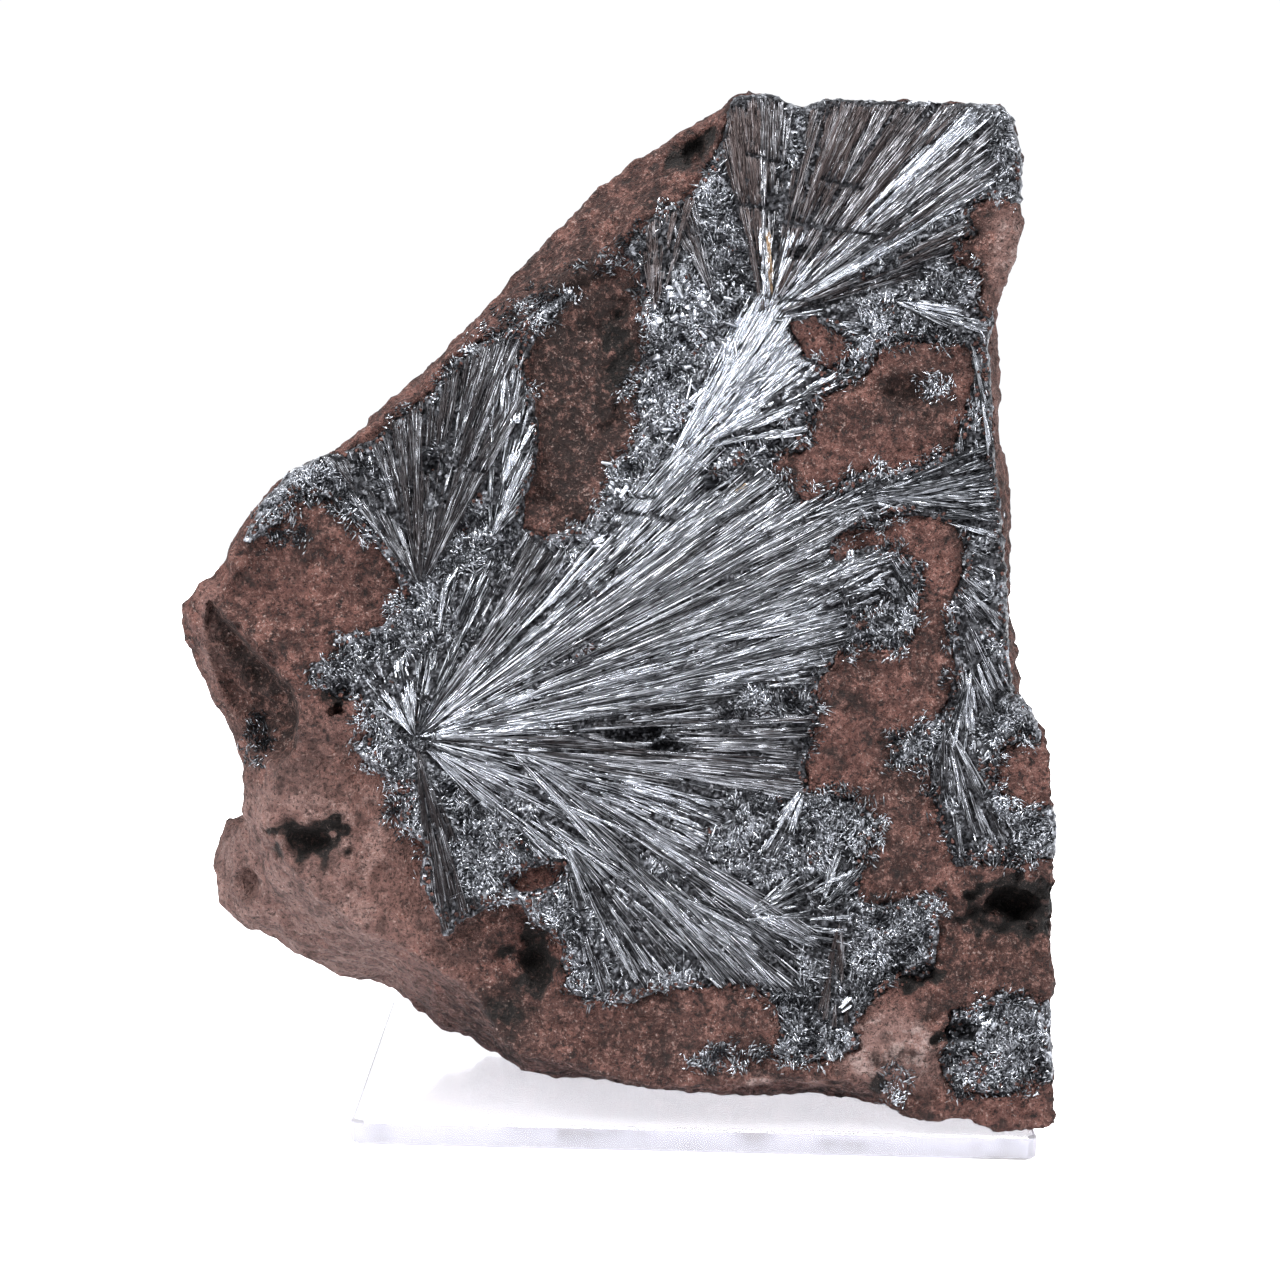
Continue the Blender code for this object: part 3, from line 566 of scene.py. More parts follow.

# %% [markdown]
# ### Stains and painted shade on the rock
# Manganese seeped into the rock around the crust and gathered in its hollows. Each point of the rock is
# given five numbers: how near the crust is, how deep it lies in a dark hollow, how rusty it is, how much
# painted shade it takes, and how pale, as the pinkish lower left is. The painted shade darkens recesses such
# as the sunken island and the groove as if shadow fell there. The material mixes its colours by them. The
# spots are ovals like the hollows, and the last number of each is its strength.

# %% Where the rock is rusty, pale or dark
RUSTY_SPOTS = [(-27, 34, 5, 4, 0.35), (37, 19.5, 4, 1.6, 0.5), (5, 72.5, 3, 3, 0.4), (-24.5, 27, 4, 5, 0.3)]
PALE_SPOTS = [
    (25, 9, 4.5, 3.5, 1.3), (20, 13, 4, 2, 0.4), (12, 5.5, 1.5, 0.8, 1.2), (17.5, 5.2, 1.2, 0.8, 1.2),
    (36.5, 73, 3, 6, 0.7), (-6, 29, 3, 2, 0.4), (37, 88, 2, 6, 0.9), (-43.4, 50, 1.2, 5, 0.7),
    (34, 84, 3, 3, 0.4),
]
# The shady spots paint shade into the rock's colour where it lies in shadow, as on the sunken island; a few
# small ones are real dark grains and one is a dark crystal pocket.
SHADY_SPOTS = [
    (-6, 76, 5.5, 12, 1.25), (-6, 63, 5, 4, 0.5), (27.5, 74.5, 3.6, 3.4, 0.95), (-6, 96, 12, 6, 0.3),
    (37, 22, 5, 4, 0.7), (37, 16, 5, 1.5, 0.5), (-14, 11, 5, 4, 0.7), (4, 10, 10, 4, 0.35),
    (23, 30, 3, 5, 0.35), (-40, 46, 3, 7, 0.3), (-26, 58, 6, 4, 0.2), (-7, 64, 4, 6, 1.1),
    (26, 33, 3, 6, 0.5), (25.6, 8.8, 0.9, 0.7, 1), (27.2, 8.3, 0.7, 0.7, 1), (23.8, 8, 0.8, 0.8, 1),
    (24.6, 10.4, 0.6, 0.5, 0.9), (28.6, 12.6, 0.8, 1.4, 1),
]


def blots(u, v, spots):
    """How much each point lies in one of the oval spots."""
    amount = np.zeros_like(u)
    for *oval, strength in spots:
        amount = np.maximum(amount, strength * np.clip(1.6 - from_oval(u, v, *oval), 0.0, 1.0))
    return amount


# %% [markdown]
# The crust's stain fades over a few millimetres, both along the face and into the stone. For that the map
# of the crust and the map of bare rock are softened alike, and the crust's share of the two is taken.

# %% Paint the stains and the painted shade
SEEP = 60
SEEP_DEPTH = 2.5
SEEP_FADE = 4.0

rock_u, rock_v, rock_w = rock_face.T
soft_crust = spread(whole, SEEP)
soft_rock = spread(on_rock & ~whole, SEEP)
near_crust = soft_crust / np.maximum(soft_crust + soft_rock, 0.001)
on_front = np.clip(1.0 - (rock_w - SEEP_DEPTH) / SEEP_FADE, 0.0, 1.0)
paint(rock, "crust_near", read_map(near_crust, rock_u, rock_v) * on_front)
paint(rock, "hollow", np.clip(sunk / 0.7, 0, 1))
paint(rock, "rust", blots(rock_u, rock_v, RUSTY_SPOTS))
# Painted shade: the shady spots, and the groove's shadow below its ridge.
paint(rock, "shade", np.maximum(blots(rock_u, rock_v, SHADY_SPOTS), 1.2 * groove_shade * at_front))
lower_left = np.clip((-14.0 - rock_u) / 12.0, 0, 1) * np.clip((46.0 - rock_v) / 12.0, 0, 1)
paint(rock, "pale", np.maximum(0.75 * lower_left, blots(rock_u, rock_v, PALE_SPOTS)))
print("stained by the crust:", round(float((near_crust > 0.5).sum() * GRID_STEP**2)), "mm2")

# %% [markdown]
# ### Colour and grain of the rock
# Up close the rock is a mix of red-brown, grey-brown and pale grains less than a millimetre across, with
# a few black and a few pink ones. Noise of four sizes, from broad mottling to sand, says where each colour
# goes, the stains shift it, and the same noise lifts the surface a little. The light sand specks are partly
# pale grains and partly painted glints of light on grain faces.

# %% Patterns in the rock
stone_finish = Finish("brown rock", Roughness=0.85, Specular_IOR_Level=0.25)
mottle = stone_finish.noise(7.0, roughness=0.55)
patches = stone_finish.noise(2.4, detail=5.0, seed=0.3)
grain = stone_finish.noise(0.85, roughness=0.75, seed=0.7)
sand = stone_finish.noise(0.32, detail=2.0, seed=1.1)
pale, rust, shade, sunken, near = (
    stone_finish.painted(name) for name in ("pale", "rust", "shade", "hollow", "crust_near")
)
hollow = sunken + sunken.ramp(0.0, 0.25) * ((patches - 0.5) * 0.9 + (grain - 0.5) * 0.9)
stain = near * 0.9 + near.ramp(0.02, 0.3) * ((patches - 0.5) * 1.6 + (grain - 0.5) * 1.2)
darkening = 0.92 - pale * 0.45
# Light sand specks: pale grains, and partly painted glints.
sparkle = sand.ramp(0.57, 0.70) * (0.1 + patches.ramp(0.42, 0.62) * 0.7)

# %% [markdown]
# Each layer is a share and a colour that lies over the ones before: first the stains and the painted shade,
# then the patches, more painted shade and the black of the hollows, then the grains and the sand, and last
# the stain beside the crust.

# %% The rock's finish
dark_brown, light_brown = colour(0.042, 0.0158, 0.0126), colour(0.112, 0.0465, 0.038)
body = stone_finish.blend(mottle.ramp(0.38, 0.62), dark_brown, light_brown)
body = stone_finish.layered(body, [
    (pale * 0.8, (0.225, 0.130, 0.115)),
    (rust * 0.7, (0.105, 0.030, 0.016)),
    # Painted shade where the rock lies in shadow.
    (shade * 0.85, (0.023, 0.0105, 0.0085)),
    (patches.ramp(0.50, 0.66) * 0.85, (0.205, 0.093, 0.075)),
    (pale.ramp(0.6, 1.0) * patches.ramp(0.48, 0.58) * 0.72, (0.380, 0.290, 0.270)),
    (patches.ramp(0.49, 0.34) * darkening, (0.020, 0.009, 0.0075)),
    # More painted shade, laid over the patches.
    (shade * 0.4, (0.018, 0.009, 0.008)),
    (hollow.ramp(0.35, 0.80) * 0.93, (0.008, 0.006, 0.005)),
    (grain.ramp(0.53, 0.66) * 0.7, (0.235, 0.122, 0.102)),
    (grain.ramp(0.48, 0.36) * darkening, (0.009, 0.005, 0.005)),
    (sparkle, (0.400, 0.290, 0.260)),
    (sand.ramp(0.45, 0.33) * 0.8, (0.009, 0.006, 0.005)),
    (hollow.ramp(0.45, 0.95) * 0.75, (0.006, 0.005, 0.005)),
    (stain.ramp(0.48, 0.80) * 0.85, (0.026, 0.022, 0.024)),
])
relief = stone_finish.bump(grain * 0.6 + patches * 0.5 + sand * 0.35, 3.0)
rock.data.materials.append(stone_finish.finish(Base_Color=body, Normal=relief, Roughness=0.95 - grain * 0.3))
print("nodes in the rock's finish:", len(stone_finish.nodes))
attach(rock, "root")
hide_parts("matrix_rock")

# %% [markdown]
# ## The bed under the needles
# Between and under the needles the crust is a dark felt of broken crystals. It is the CAD crust, grown a
# little so that it meets the rock all round, remeshed finely and roughened. Most of it ends up hidden. Its
# finish is a dull metal whose normals turn at random from cell to cell, as tiny crystal faces do.

# %% Roughen the bed
BED_VOXEL = 0.42

bed_finish = Finish("needle bed", Metallic=0.85, Roughness=0.38)
crumbly = bed_finish.noise(0.6).ramp(0.40, 0.64)
bed_colour = bed_finish.blend(crumbly, colour(0.022, 0.022, 0.026), colour(0.33, 0.345, 0.38))
# Painted shade: the bed is darkened where sprays lie over it, and blackened in the hollows.
bed_colour = bed_finish.blend(bed_finish.painted("painted_shade_and_hollows") * 0.85, bed_colour, colour(0.012, 0.012, 0.014))
bed_material = bed_finish.finish(Base_Color=bed_colour, Normal=bed_finish.facets(0.32, 0.9))
crumbs = clouds("crumbs", 0.9 * MM)
for bed, node in ((needle_bed, "pyrolusite_crust"), (corner_bed, "pyrolusite_corner_patch")):
    apply_modifier(bed, "REMESH", mode="VOXEL", voxel_size=BED_VOXEL * MM, adaptivity=0.0)
    apply_modifier(bed, "DISPLACE", strength=2 * BED_SWELL * MM, mid_level=0.5)
    apply_modifier(bed, "DISPLACE", texture=crumbs, strength=0.8 * MM, mid_level=0.5)
    bed.data.materials.append(bed_material)
    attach(bed, "root")
    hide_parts(node)
    print(bed.name, len(bed.data.polygons), "faces")

# %% [markdown]
# ## One needle
# A pyrolusite needle is a thin prism that ends in a point. One is modelled by hand: a short cylinder with
# few sides, whose two ends are drawn out and pinched to a point. It is one unit long and one unit wide,
# and every needle on the stone is a stretched and turned copy of it, joined with its neighbours into one
# mesh. Flat faces matter more than smooth ones here, because each face has to flash by itself. The
# slimmest needles are splinters with three sides, pinched in the same way. Blender's merge may list the
# faces in another order each time, so they are sorted before they are used.

# %% Model the needle


def drawn_out(piece, level, draw):
    """Extrude the end face at a height and pinch it to a point."""
    bpy.ops.object.mode_set(mode="EDIT")
    bpy.ops.mesh.select_mode(type="FACE")
    bpy.ops.mesh.select_all(action="DESELECT")
    bpy.ops.object.mode_set(mode="OBJECT")
    for face in piece.data.polygons:
        face.select = abs(face.center.z - level) < 0.01
    bpy.ops.object.mode_set(mode="EDIT")
    bpy.ops.mesh.extrude_region_move(TRANSFORM_OT_translate={"value": (0, 0, draw)})
    bpy.ops.mesh.merge(type="CENTER")
    bpy.ops.object.mode_set(mode="OBJECT")


def unit_form(piece):
    """Corners with the needle along x, and its faces in an order that is the same in each run."""
    form = points_of(piece)[:, [2, 0, 1]], sorted(faces_of(piece))
    bpy.data.objects.remove(piece)
    return form


bpy.ops.object.select_all(action="DESELECT")
bpy.ops.mesh.primitive_cylinder_add(vertices=4, radius=0.5, depth=0.7, location=(0, 0, 0.45))
bpy.ops.object.transform_apply(location=True)
drawn_out(bpy.context.object, 0.8, 0.2)
drawn_out(bpy.context.object, 0.1, -0.1)
PRISM = unit_form(bpy.context.object)
bpy.ops.mesh.primitive_cone_add(vertices=3, radius1=0.5, depth=0.7, location=(0, 0, 0.65))
bpy.ops.object.transform_apply(location=True)
drawn_out(bpy.context.object, 0.3, -0.3)
SPLINTER = unit_form(bpy.context.object)
print("a prism has", len(PRISM[1]), "faces and a splinter", len(SPLINTER[1]))

# %% [markdown]
# ### Many needles in one mesh
# Copying an object ten thousand times would take minutes and a lot of memory. The copies are worked out
# as arrays instead: each corner of the needle is placed at once for all needles. Each needle gets its own
# tone, so that neighbours differ and so that sprays that catch the light can be painted light, and its own
# small cell in a UV map, so that the tone can be baked.

# %% Join needles into a mesh


def grow(name, form, roots, tips, width, height, tone, roll=0.0):
    """One piece made of needles from roots to tips, in the face's millimetres."""
    corners, faces = form
    count = len(roots)
    along = tips - roots
    flat = np.stack([-along[:, 1], along[:, 0], np.zeros(count)], 1)
    side = flat / np.linalg.norm(flat, axis=1, keepdims=True)
    out = np.cross(along, side)
    out /= np.linalg.norm(out, axis=1, keepdims=True)
    turned = np.broadcast_to(roll, count)[:, None]
    side, out = side * np.cos(turned) + out * np.sin(turned), out * np.cos(turned) - side * np.sin(turned)
    side, out = side * width[:, None], out * height[:, None]
    places = roots[:, None]
    for axis, stride in enumerate((along, side, out)):
        places = places + stride[:, None] * corners[None, :, axis, None]
    mesh = bpy.data.meshes.new(name)
    sizes = np.array([len(face) for face in faces])
    loops = np.concatenate([np.array(face) for face in faces])
    indices = (loops[None] + np.arange(count)[:, None] * len(corners)).ravel()
    starts = np.concatenate([[0], np.cumsum(np.tile(sizes, count))[:-1]])
    mesh.vertices.add(count * len(corners))
    mesh.vertices.foreach_set("co", to_world(places.reshape(-1, 3)).ravel())
    mesh.loops.add(len(indices))
    mesh.loops.foreach_set("vertex_index", indices)
    mesh.polygons.add(len(starts))
    mesh.polygons.foreach_set("loop_start", starts)
    mesh.update(calc_edges=True)
    mesh.validate()
    piece = added(name, mesh)
    paint(piece, "tone", np.repeat(tone, len(corners)))
    lay_out_cells(mesh, corners, loops, count)
    return piece


def lay_out_cells(mesh, corners, loops, count):
    """Give each needle a cell of its own in the UV map."""
    across = math.ceil(math.sqrt(count))
    cell = np.stack([np.arange(count) % across, np.arange(count) // across], 1)
    spot = np.stack([0.15 + 0.7 * corners[loops, 0], 0.5 + 0.6 * corners[loops, 1]], 1)
    layer = mesh.uv_layers.new(name="OFBake")
    layer.data.foreach_set("uv", ((cell[:, None] + spot[None]) / across).ravel())


# %% [markdown]
# ### Sheaves
# Needles grow in sheaves: a dozen or two start close together and spread a little as they run. All the
# needles of a sheaf share a tilt, and so a whole sheaf shines or stays dark at once. A sheaf is worked out
# from its root, its direction, its length, how wide it opens, how high it lies and how light it is.

# %% Needles of many sheaves at once
SHEAF = 36
SLENDER = 0.098


def pointing(heading):
    """Strides of one millimetre along the face in each heading."""
    return np.stack([np.cos(heading), np.sin(heading)], 1)


def sheaves(root, heading, length, opening, lift, tone, tarnish, each=SHEAF, width=SLENDER):
    """Needles of all the sheaves as a dictionary of arrays, one row for each needle."""
    total = len(heading) * each
    roll = np.repeat(chance.uniform(-0.5, 0.5, len(heading)), each) + chance.normal(0, 0.22, total)
    root, heading, length, opening, lift, tone, tarnish = (
        np.repeat(item, each, axis=0) for item in (root, heading, length, opening, lift, tone, tarnish)
    )
    across = chance.uniform(-0.5, 0.5, total)
    begin = length * chance.uniform(0, 0.8, total)
    finish = begin + length * chance.uniform(0.15, 0.65, total)
    finish = np.minimum(finish, length * chance.uniform(0.9, 1.0, total))
    ahead = pointing(heading)
    aside = np.stack([-ahead[:, 1], ahead[:, 0]], 1)
    drop = 0.5 * opening * across**2
    near, far = (
        root + ahead * run[:, None] + aside * (opening * (0.25 + 0.75 * run / length) * across)[:, None]
        for run in (begin, finish)
    )
    return {
        "near": near,
        "far": far,
        "near_lift": lift - drop * 0.4 - 0.12,
        "far_lift": lift - drop + chance.normal(0, 0.07, total),
        "tone": np.clip(tone + chance.normal(0, 0.27, total), 0.0, 1.0),
        "tarnish": tarnish,
        "roll": roll,
        "width": width * chance.uniform(0.6, 1.5, total),
    }


# %% [markdown]
# ### Laying needles on the ground
# A needle can't hang in the air. Where one would run past the crust's shore it is cut short, and where it
# would cross a gap or stand on a steep edge it is left out. Each end then takes its depth from the ground.

# %% Cut needles to the shore and plant them
TRIMS = 6
TRIM = 0.8
SHORTEST = 0.3
STEEPEST = 1.2


def joined(parts):
    """Several sets of needles as one."""
    return {key: np.concatenate([part[key] for part in parts]) for key in parts[0]}


def only(needles, chosen):
    """The chosen needles of a set."""
    return {key: item[chosen] for key, item in needles.items()}


def on_ground(needles, shore):
    """Needles cut short at the crust's shore, and none that run across a gap in it."""
    for _ in range(TRIMS):
        off = read_map(shore, *needles["far"].T) < 0.5
        stride = needles["far"] - needles["near"]
        needles["far"] = np.where(off[:, None], needles["near"] + stride * TRIM, needles["far"])
    stride = needles["far"] - needles["near"]
    good = np.hypot(*stride.T) > SHORTEST
    for share in np.linspace(0, 1, 6):
        good &= read_map(shore, *(needles["near"] + stride * share).T) > 0.5
    return only(needles, good)


def plant(name, form, needles, flatness=0.8):
    """Lay a set of needles on the ground as one piece, leaving out any that would hang over an edge."""
    deep = [read_map(ground, *needles[end].T) - needles[end + "_lift"] for end in ("near", "far")]
    roots = np.column_stack([needles["near"], deep[0]])
    tips = np.column_stack([needles["far"], deep[1]])
    sound = np.isfinite(roots).all(1) & np.isfinite(tips).all(1)
    slope = np.abs(tips[:, 2] - roots[:, 2]) / np.hypot(*(needles["far"] - needles["near"]).T)
    sound &= slope < STEEPEST
    needles, roots, tips = only(needles, sound), roots[sound], tips[sound]
    width = needles["width"]
    piece = grow(name, form, roots, tips, width, width * flatness, needles["tone"], needles["roll"])
    paint(piece, "tarnish", np.repeat(needles["tarnish"], len(form[0])))
    piece.data.materials.append(needle_material)
    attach(piece, "root")
    print(piece.name, len(roots), "needles,", len(piece.data.polygons), "faces")


# %% [markdown]
# ### How a spray grows
# A spray starts from one point and its sheaves fan out from there. They aren't all one length: each runs
# for a part of the way, and the next takes over with its own lean.

# %% Grow one spray
SHEAF_AREA = 16.0
CORE_ANGLE = 4
SHORTEST_SHEAF = 2.0


def spray(origin, start, end, reach, shade, tarnish, cover=5):
    """The needles of a spray between two angles, in degrees from the face's right."""
    area = 0.5 * math.radians(end - start) * reach**2
    core = max(2, int((end - start) / CORE_ANGLE))
    count = core + max(4, int(cover * area / SHEAF_AREA))
    bearing = np.radians(chance.uniform(start, end, count))
    begin = reach * np.sqrt(chance.uniform(0.0, 0.8, count))
    begin[:core] = chance.uniform(0.0, 1.5, core)
    length = reach * chance.uniform(0.22, 0.5, count) + 1.5
    length = np.minimum(length, reach * chance.uniform(0.92, 1.1, count) - begin)
    length = np.maximum(length, SHORTEST_SHEAF)
    heading = bearing + np.radians(chance.normal(0, 3.5, count)) * (begin / reach)
    root = np.array(origin) + pointing(bearing) * begin[:, None]
    opening = length * chance.uniform(0.06, 0.14, count) + 0.2
    rise = 0.1 + chance.uniform(-0.15, 0.4, count)
    # The spray's lightness, partly painted highlight and shade, differs a little from sheaf to sheaf.
    tone = shade + chance.normal(0, 0.21, count)
    return sheaves(root, heading, length, opening, rise, tone, np.full(count, tarnish))


# %% [markdown]
# ### Cracks
# Here and there a crack runs straight across a spray. The needles it cuts are parted by a hair's breadth,
# and the outer ends sit a little deeper, which is what makes the crack show as a dark line. Each crack is
# given by its two ends on the face.

# %% Crack the sprays
CRACK_GAP = 0.3
CRACK_STEP = 0.22
CRACKS = [
    ((14, 91.8), (24.5, 90.3)), ((12, 84.3), (19.5, 83.6)), ((9, 93.6), (14, 93)),
    ((10.5, 98.6), (15.2, 97.4)), ((18, 96.2), (22.4, 95)), ((-4.2, 64.5), (1.5, 64.2)),
    ((-3, 62.9), (3.5, 62.2)), ((-20, 68), (-15.5, 66.8)), ((-9.5, 41.5), (-4, 39.8)),
]


def cracked(needles):
    """The needles, cut in two wherever a crack crosses them."""
    for start, end in CRACKS:
        start, across = np.array(start), np.array(end) - np.array(start)
        run = needles["far"] - needles["near"]
        turn_amount = run[:, 0] * across[1] - run[:, 1] * across[0]
        away = start - needles["near"]
        along = (away[:, 0] * across[1] - away[:, 1] * across[0]) / turn_amount
        beside = (away[:, 0] * run[:, 1] - away[:, 1] * run[:, 0]) / turn_amount
        length = np.hypot(*run.T)
        slack = CRACK_GAP / length
        hit = (along > slack) & (along < 1 - slack) & (beside > 0) & (beside < 1)
        outer = only(needles, hit)
        share = along[hit] + slack[hit] / 2
        outer["near"] = outer["near"] + run[hit] * share[:, None]
        outer["near_lift"] = outer["near_lift"] * (1 - share) + outer["far_lift"] * share - CRACK_STEP
        outer["far_lift"] = outer["far_lift"] - CRACK_STEP / 2
        share = np.where(hit, along - slack / 2, 1.0)
        needles["far"] = needles["near"] + run * share[:, None]
        needles["far_lift"] = needles["near_lift"] * (1 - share) + needles["far_lift"] * share
        needles = joined([needles, outer])
    return needles


# %% [markdown]
# ### The sprays of this stone
# Each line is one spray: where it starts on the face, the two angles it spreads between, how far it
# reaches, how light it is and how tarnished. How light a spray is is partly painted highlight and shade:
# sprays that catch the light, such as the trunk and the beam, are given light needles, and sprays that
# face away are given dark ones. A last number, where there is one, says how thickly it is grown. The
# biggest starts low on the left and sweeps across the face, and the next hangs from the upper middle.

# %% Where the sprays are
MAIN = (-22.5, 40.2)
UPPER = (12.5, 82.0)
SPRAYS = {
    "main_spray": [
        (MAIN, -87, -70, 20, 0.1, 0.3), (MAIN, -47, -35, 20, 0.75, 0), (MAIN, -34, -8, 22, 0.48, 0),
        (MAIN, -8, 4, 41, 0.44, 0.3), (MAIN, 2, 10, 30, 0.58, 0.1), (MAIN, 8, 22, 42, 0.54, 0.1),
        (MAIN, 20, 38, 51, 0.56, 0.15), (MAIN, 36, 48, 40, 0.58, 0), (MAIN, 44, 62, 24, 0.3, 0.15),
        (MAIN, 62, 80, 18, 0.25, 0), (MAIN, 80, 150, 8, 0.5, 0), (MAIN, -12, 30, 14, 0.8, 0),
    ],
    "lower_sprays": [
        ((-13.2, 39.2), -36, -8, 22, 0.56, 0), ((-13.2, 39.2), -48, -30, 35, 0.48, 0.1),
        ((-8, 30.8), -80, -42, 17, 0.42, 0.1), ((-8, 30.8), -46, -24, 22, 0.44, 0),
        ((16.8, 36), -132, -108, 8, 0.85, 0, 8), ((20, 22), -104, -84, 10, 0.06, 0.6, 8),
        ((10, 22), -40, 40, 11, 0.35, 0), ((30.5, 42), -112, -55, 13, 0.28, 0.1),
        ((18, 23), 20, 80, 8, 0.4, 0),
    ],
    "upper_spray": [
        (UPPER, 91, 104, 23, 0, 0.9, 9), (UPPER, 83, 92, 23, 0.22, 0.4, 7),
        (UPPER, 60, 78, 24, 0.12, 0.7, 9), (UPPER, 47, 62, 29, 0.26, 0.6, 8),
        (UPPER, 43, 49, 31, 0.9, 0, 7), (UPPER, 32, 43, 28, 0.52, 0.3, 7), (UPPER, 27, 33, 26, 0.95, 0),
        (UPPER, 14, 27, 22, 0.38, 0.4), (UPPER, -14, 10, 10, 0.4, 0), (UPPER, 40, 96, 9, 0.75, 0, 8),
    ],
    "trunk": [
        ((-1, 61), 48, 62, 27, 1.15, 0, 8), ((-4, 57), 46, 58, 16, 0.9, 0), ((2, 66), 36, 60, 20, 1.15, 0, 8),
        ((5, 69), 24, 48, 16, 0.9, 0, 6), ((6, 69), 8, 26, 12, 0.65, 0), ((7, 74), 20, 70, 10, 0.85, 0, 6),
    ],
    "side_sprays": [
        ((-22, 55), 60, 80, 26, 0.2, 0.2, 7), ((-22, 55), 80, 100, 21, 0.02, 0.25, 8),
        ((-22, 55), 98, 126, 17, 0.25, 0.2, 6), ((1.5, 82), 70, 100, 12, 0.12, 0.8, 8),
        ((7.5, 84), 100, 122, 20, 0.16, 0.4), ((-15, 60), 44, 90, 18, 0.4, 0), ((16, 62), 0, 26, 21, 0.28, 0),
        ((21, 64.5), -60, 8, 17, 0.42, 0), ((25, 84), -26, -4, 13, 0.6, 0), ((33, 80), 262, 290, 12, 0.35, 0),
        ((10, 50), 8, 42, 16, 0.6, 0), ((29, 60), -80, -42, 17, 0.38, 0.1), ((33, 47), 250, 300, 9, 0.5, 0),
        ((-14, 65), 56, 76, 7.5, 0.9, 0, 6),
    ],
    # Golden needles: partly golden tarnish and partly painted glints.
    "golden_glints": [((8, 63.7), 30, 36, 2, 0.8, 1.8), ((13.2, 84), 92, 95, 6.5, 0.25, 1.48)],
}

# %% [markdown]
# ### The needles' finish
# Clean pyrolusite is steel-grey with a bright metallic lustre. Where it is tarnished it turns dull brown,
# and a very few needles turn golden, partly as painted glints: those are given a tarnish past one. The
# tone of each needle sets how light and how smooth it is, and it carries painted highlight and shade
# along with the needles' own differences.

# %% Needle material
needle_finish = Finish("pyrolusite needles", Metallic=0.95)
tone = needle_finish.painted("tone")
streak = needle_finish.noise(0.9, detail=3.0, roughness=0.65)
light = tone + (streak - 0.5) * 0.6
dark_steel, light_steel = colour(0.020, 0.021, 0.024), colour(0.67, 0.70, 0.76)
needle_colour = needle_finish.blend(light.ramp(0.0, 1.0), dark_steel, light_steel)
tarnish = needle_finish.painted("tarnish")
needle_colour = needle_finish.blend(tarnish * 0.8, needle_colour, colour(0.100, 0.076, 0.073))
# Painted glint and tarnish: a tarnish past one turns the needle golden.
needle_colour = needle_finish.blend(tarnish.ramp(1.3, 1.8), needle_colour, colour(0.50, 0.34, 0.16))
needle_material = needle_finish.finish(Base_Color=needle_colour, Roughness=0.40 - light * 0.18)
print("nodes in the needles' finish:", len(needle_finish.nodes))

# %% [markdown]
# ### Grow them
# Most needles are slim splinters, and about one in eight is a stouter prism. The sprays keep to the crust's
# own frayed shore and stay out of the hollows. A map counts the needles over each place, and where few or
# none lie the crust is bare, for felt to fill.

# %% Grow the sprays
SLIM_SHARE = 0.88
BARE_COUNT = 1.2

grid_v, grid_u = np.meshgrid(GRID_V, GRID_U, indexing="ij")
holes = in_hollow(grid_u, grid_v)
shore = spread(whole, 6) + (slow_noise(1.0, 11) - 0.5) * 0.8 - (holes > 0.5)
sprayed = np.zeros_like(crust_map)
for name, fans in SPRAYS.items():
    needles = on_ground(cracked(joined([spray(*fan) for fan in fans])), shore)
    slim = chance.random(len(needles["tone"])) < SLIM_SHARE
    plant(name, PRISM, only(needles, ~slim))
    plant(name + "_slim", SPLINTER, only(needles, slim))
    for share in np.linspace(0.1, 0.9, 9):
        middle = needles["near"] * (1 - share) + needles["far"] * share
        np.add.at(sprayed, cell_of(*middle.T), 1)
bare = spread(sprayed, 4) < BARE_COUNT
print("sprays cover", round(float((whole & ~bare).sum() / whole.sum()), 2), "of the crust")

# %% [markdown]
# ### The felt between the sprays
# Between the sprays small splinters lie in tufts that point every way. They are the sparkle of the stone:
# each is short, flat-faced and turned its own way. The ground under them isn't flat either, so it is
# heaved into little hills first, with the bed and the rock's front.

# %% Heave the ground under the felt
HILL_SIZE = 1.6
HILL_HEIGHT = 1.7
HILL_DEPTH = 2.5

hills = (slow_noise(HILL_SIZE, 31) - 0.5) * HILL_HEIGHT * spread(whole & bare, 4) - holes * spread(whole, 4)
ground = ground - hills
# Painted shade under the sprays, where the gaps between needles lie in shadow, with the black of the hollows.
painted_shade_and_hollows = np.clip(np.maximum(spread(sprayed, 3) / 2.0, 1.5 * holes), 0.0, 1.0)
for piece in (needle_bed, corner_bed, rock):
    place = face_points(piece)
    place[:, 2] -= read_map(hills, place[:, 0], place[:, 1]) * (place[:, 2] < HILL_DEPTH)
    move_points(piece, place)
    paint(piece, "painted_shade_and_hollows", read_map(painted_shade_and_hollows, place[:, 0], place[:, 1]))
print("the felt's hills rise", round(float(hills.max()), 2), "mm")

# %% [markdown]
# ### Where the felt lies, and how light it is
# The felt strays a little over the rock at the crust's edge, so that the edge is ragged, and a few oval
# spots of it lie out on the bare rock. It is lightest beside the trunk of the upper spray.

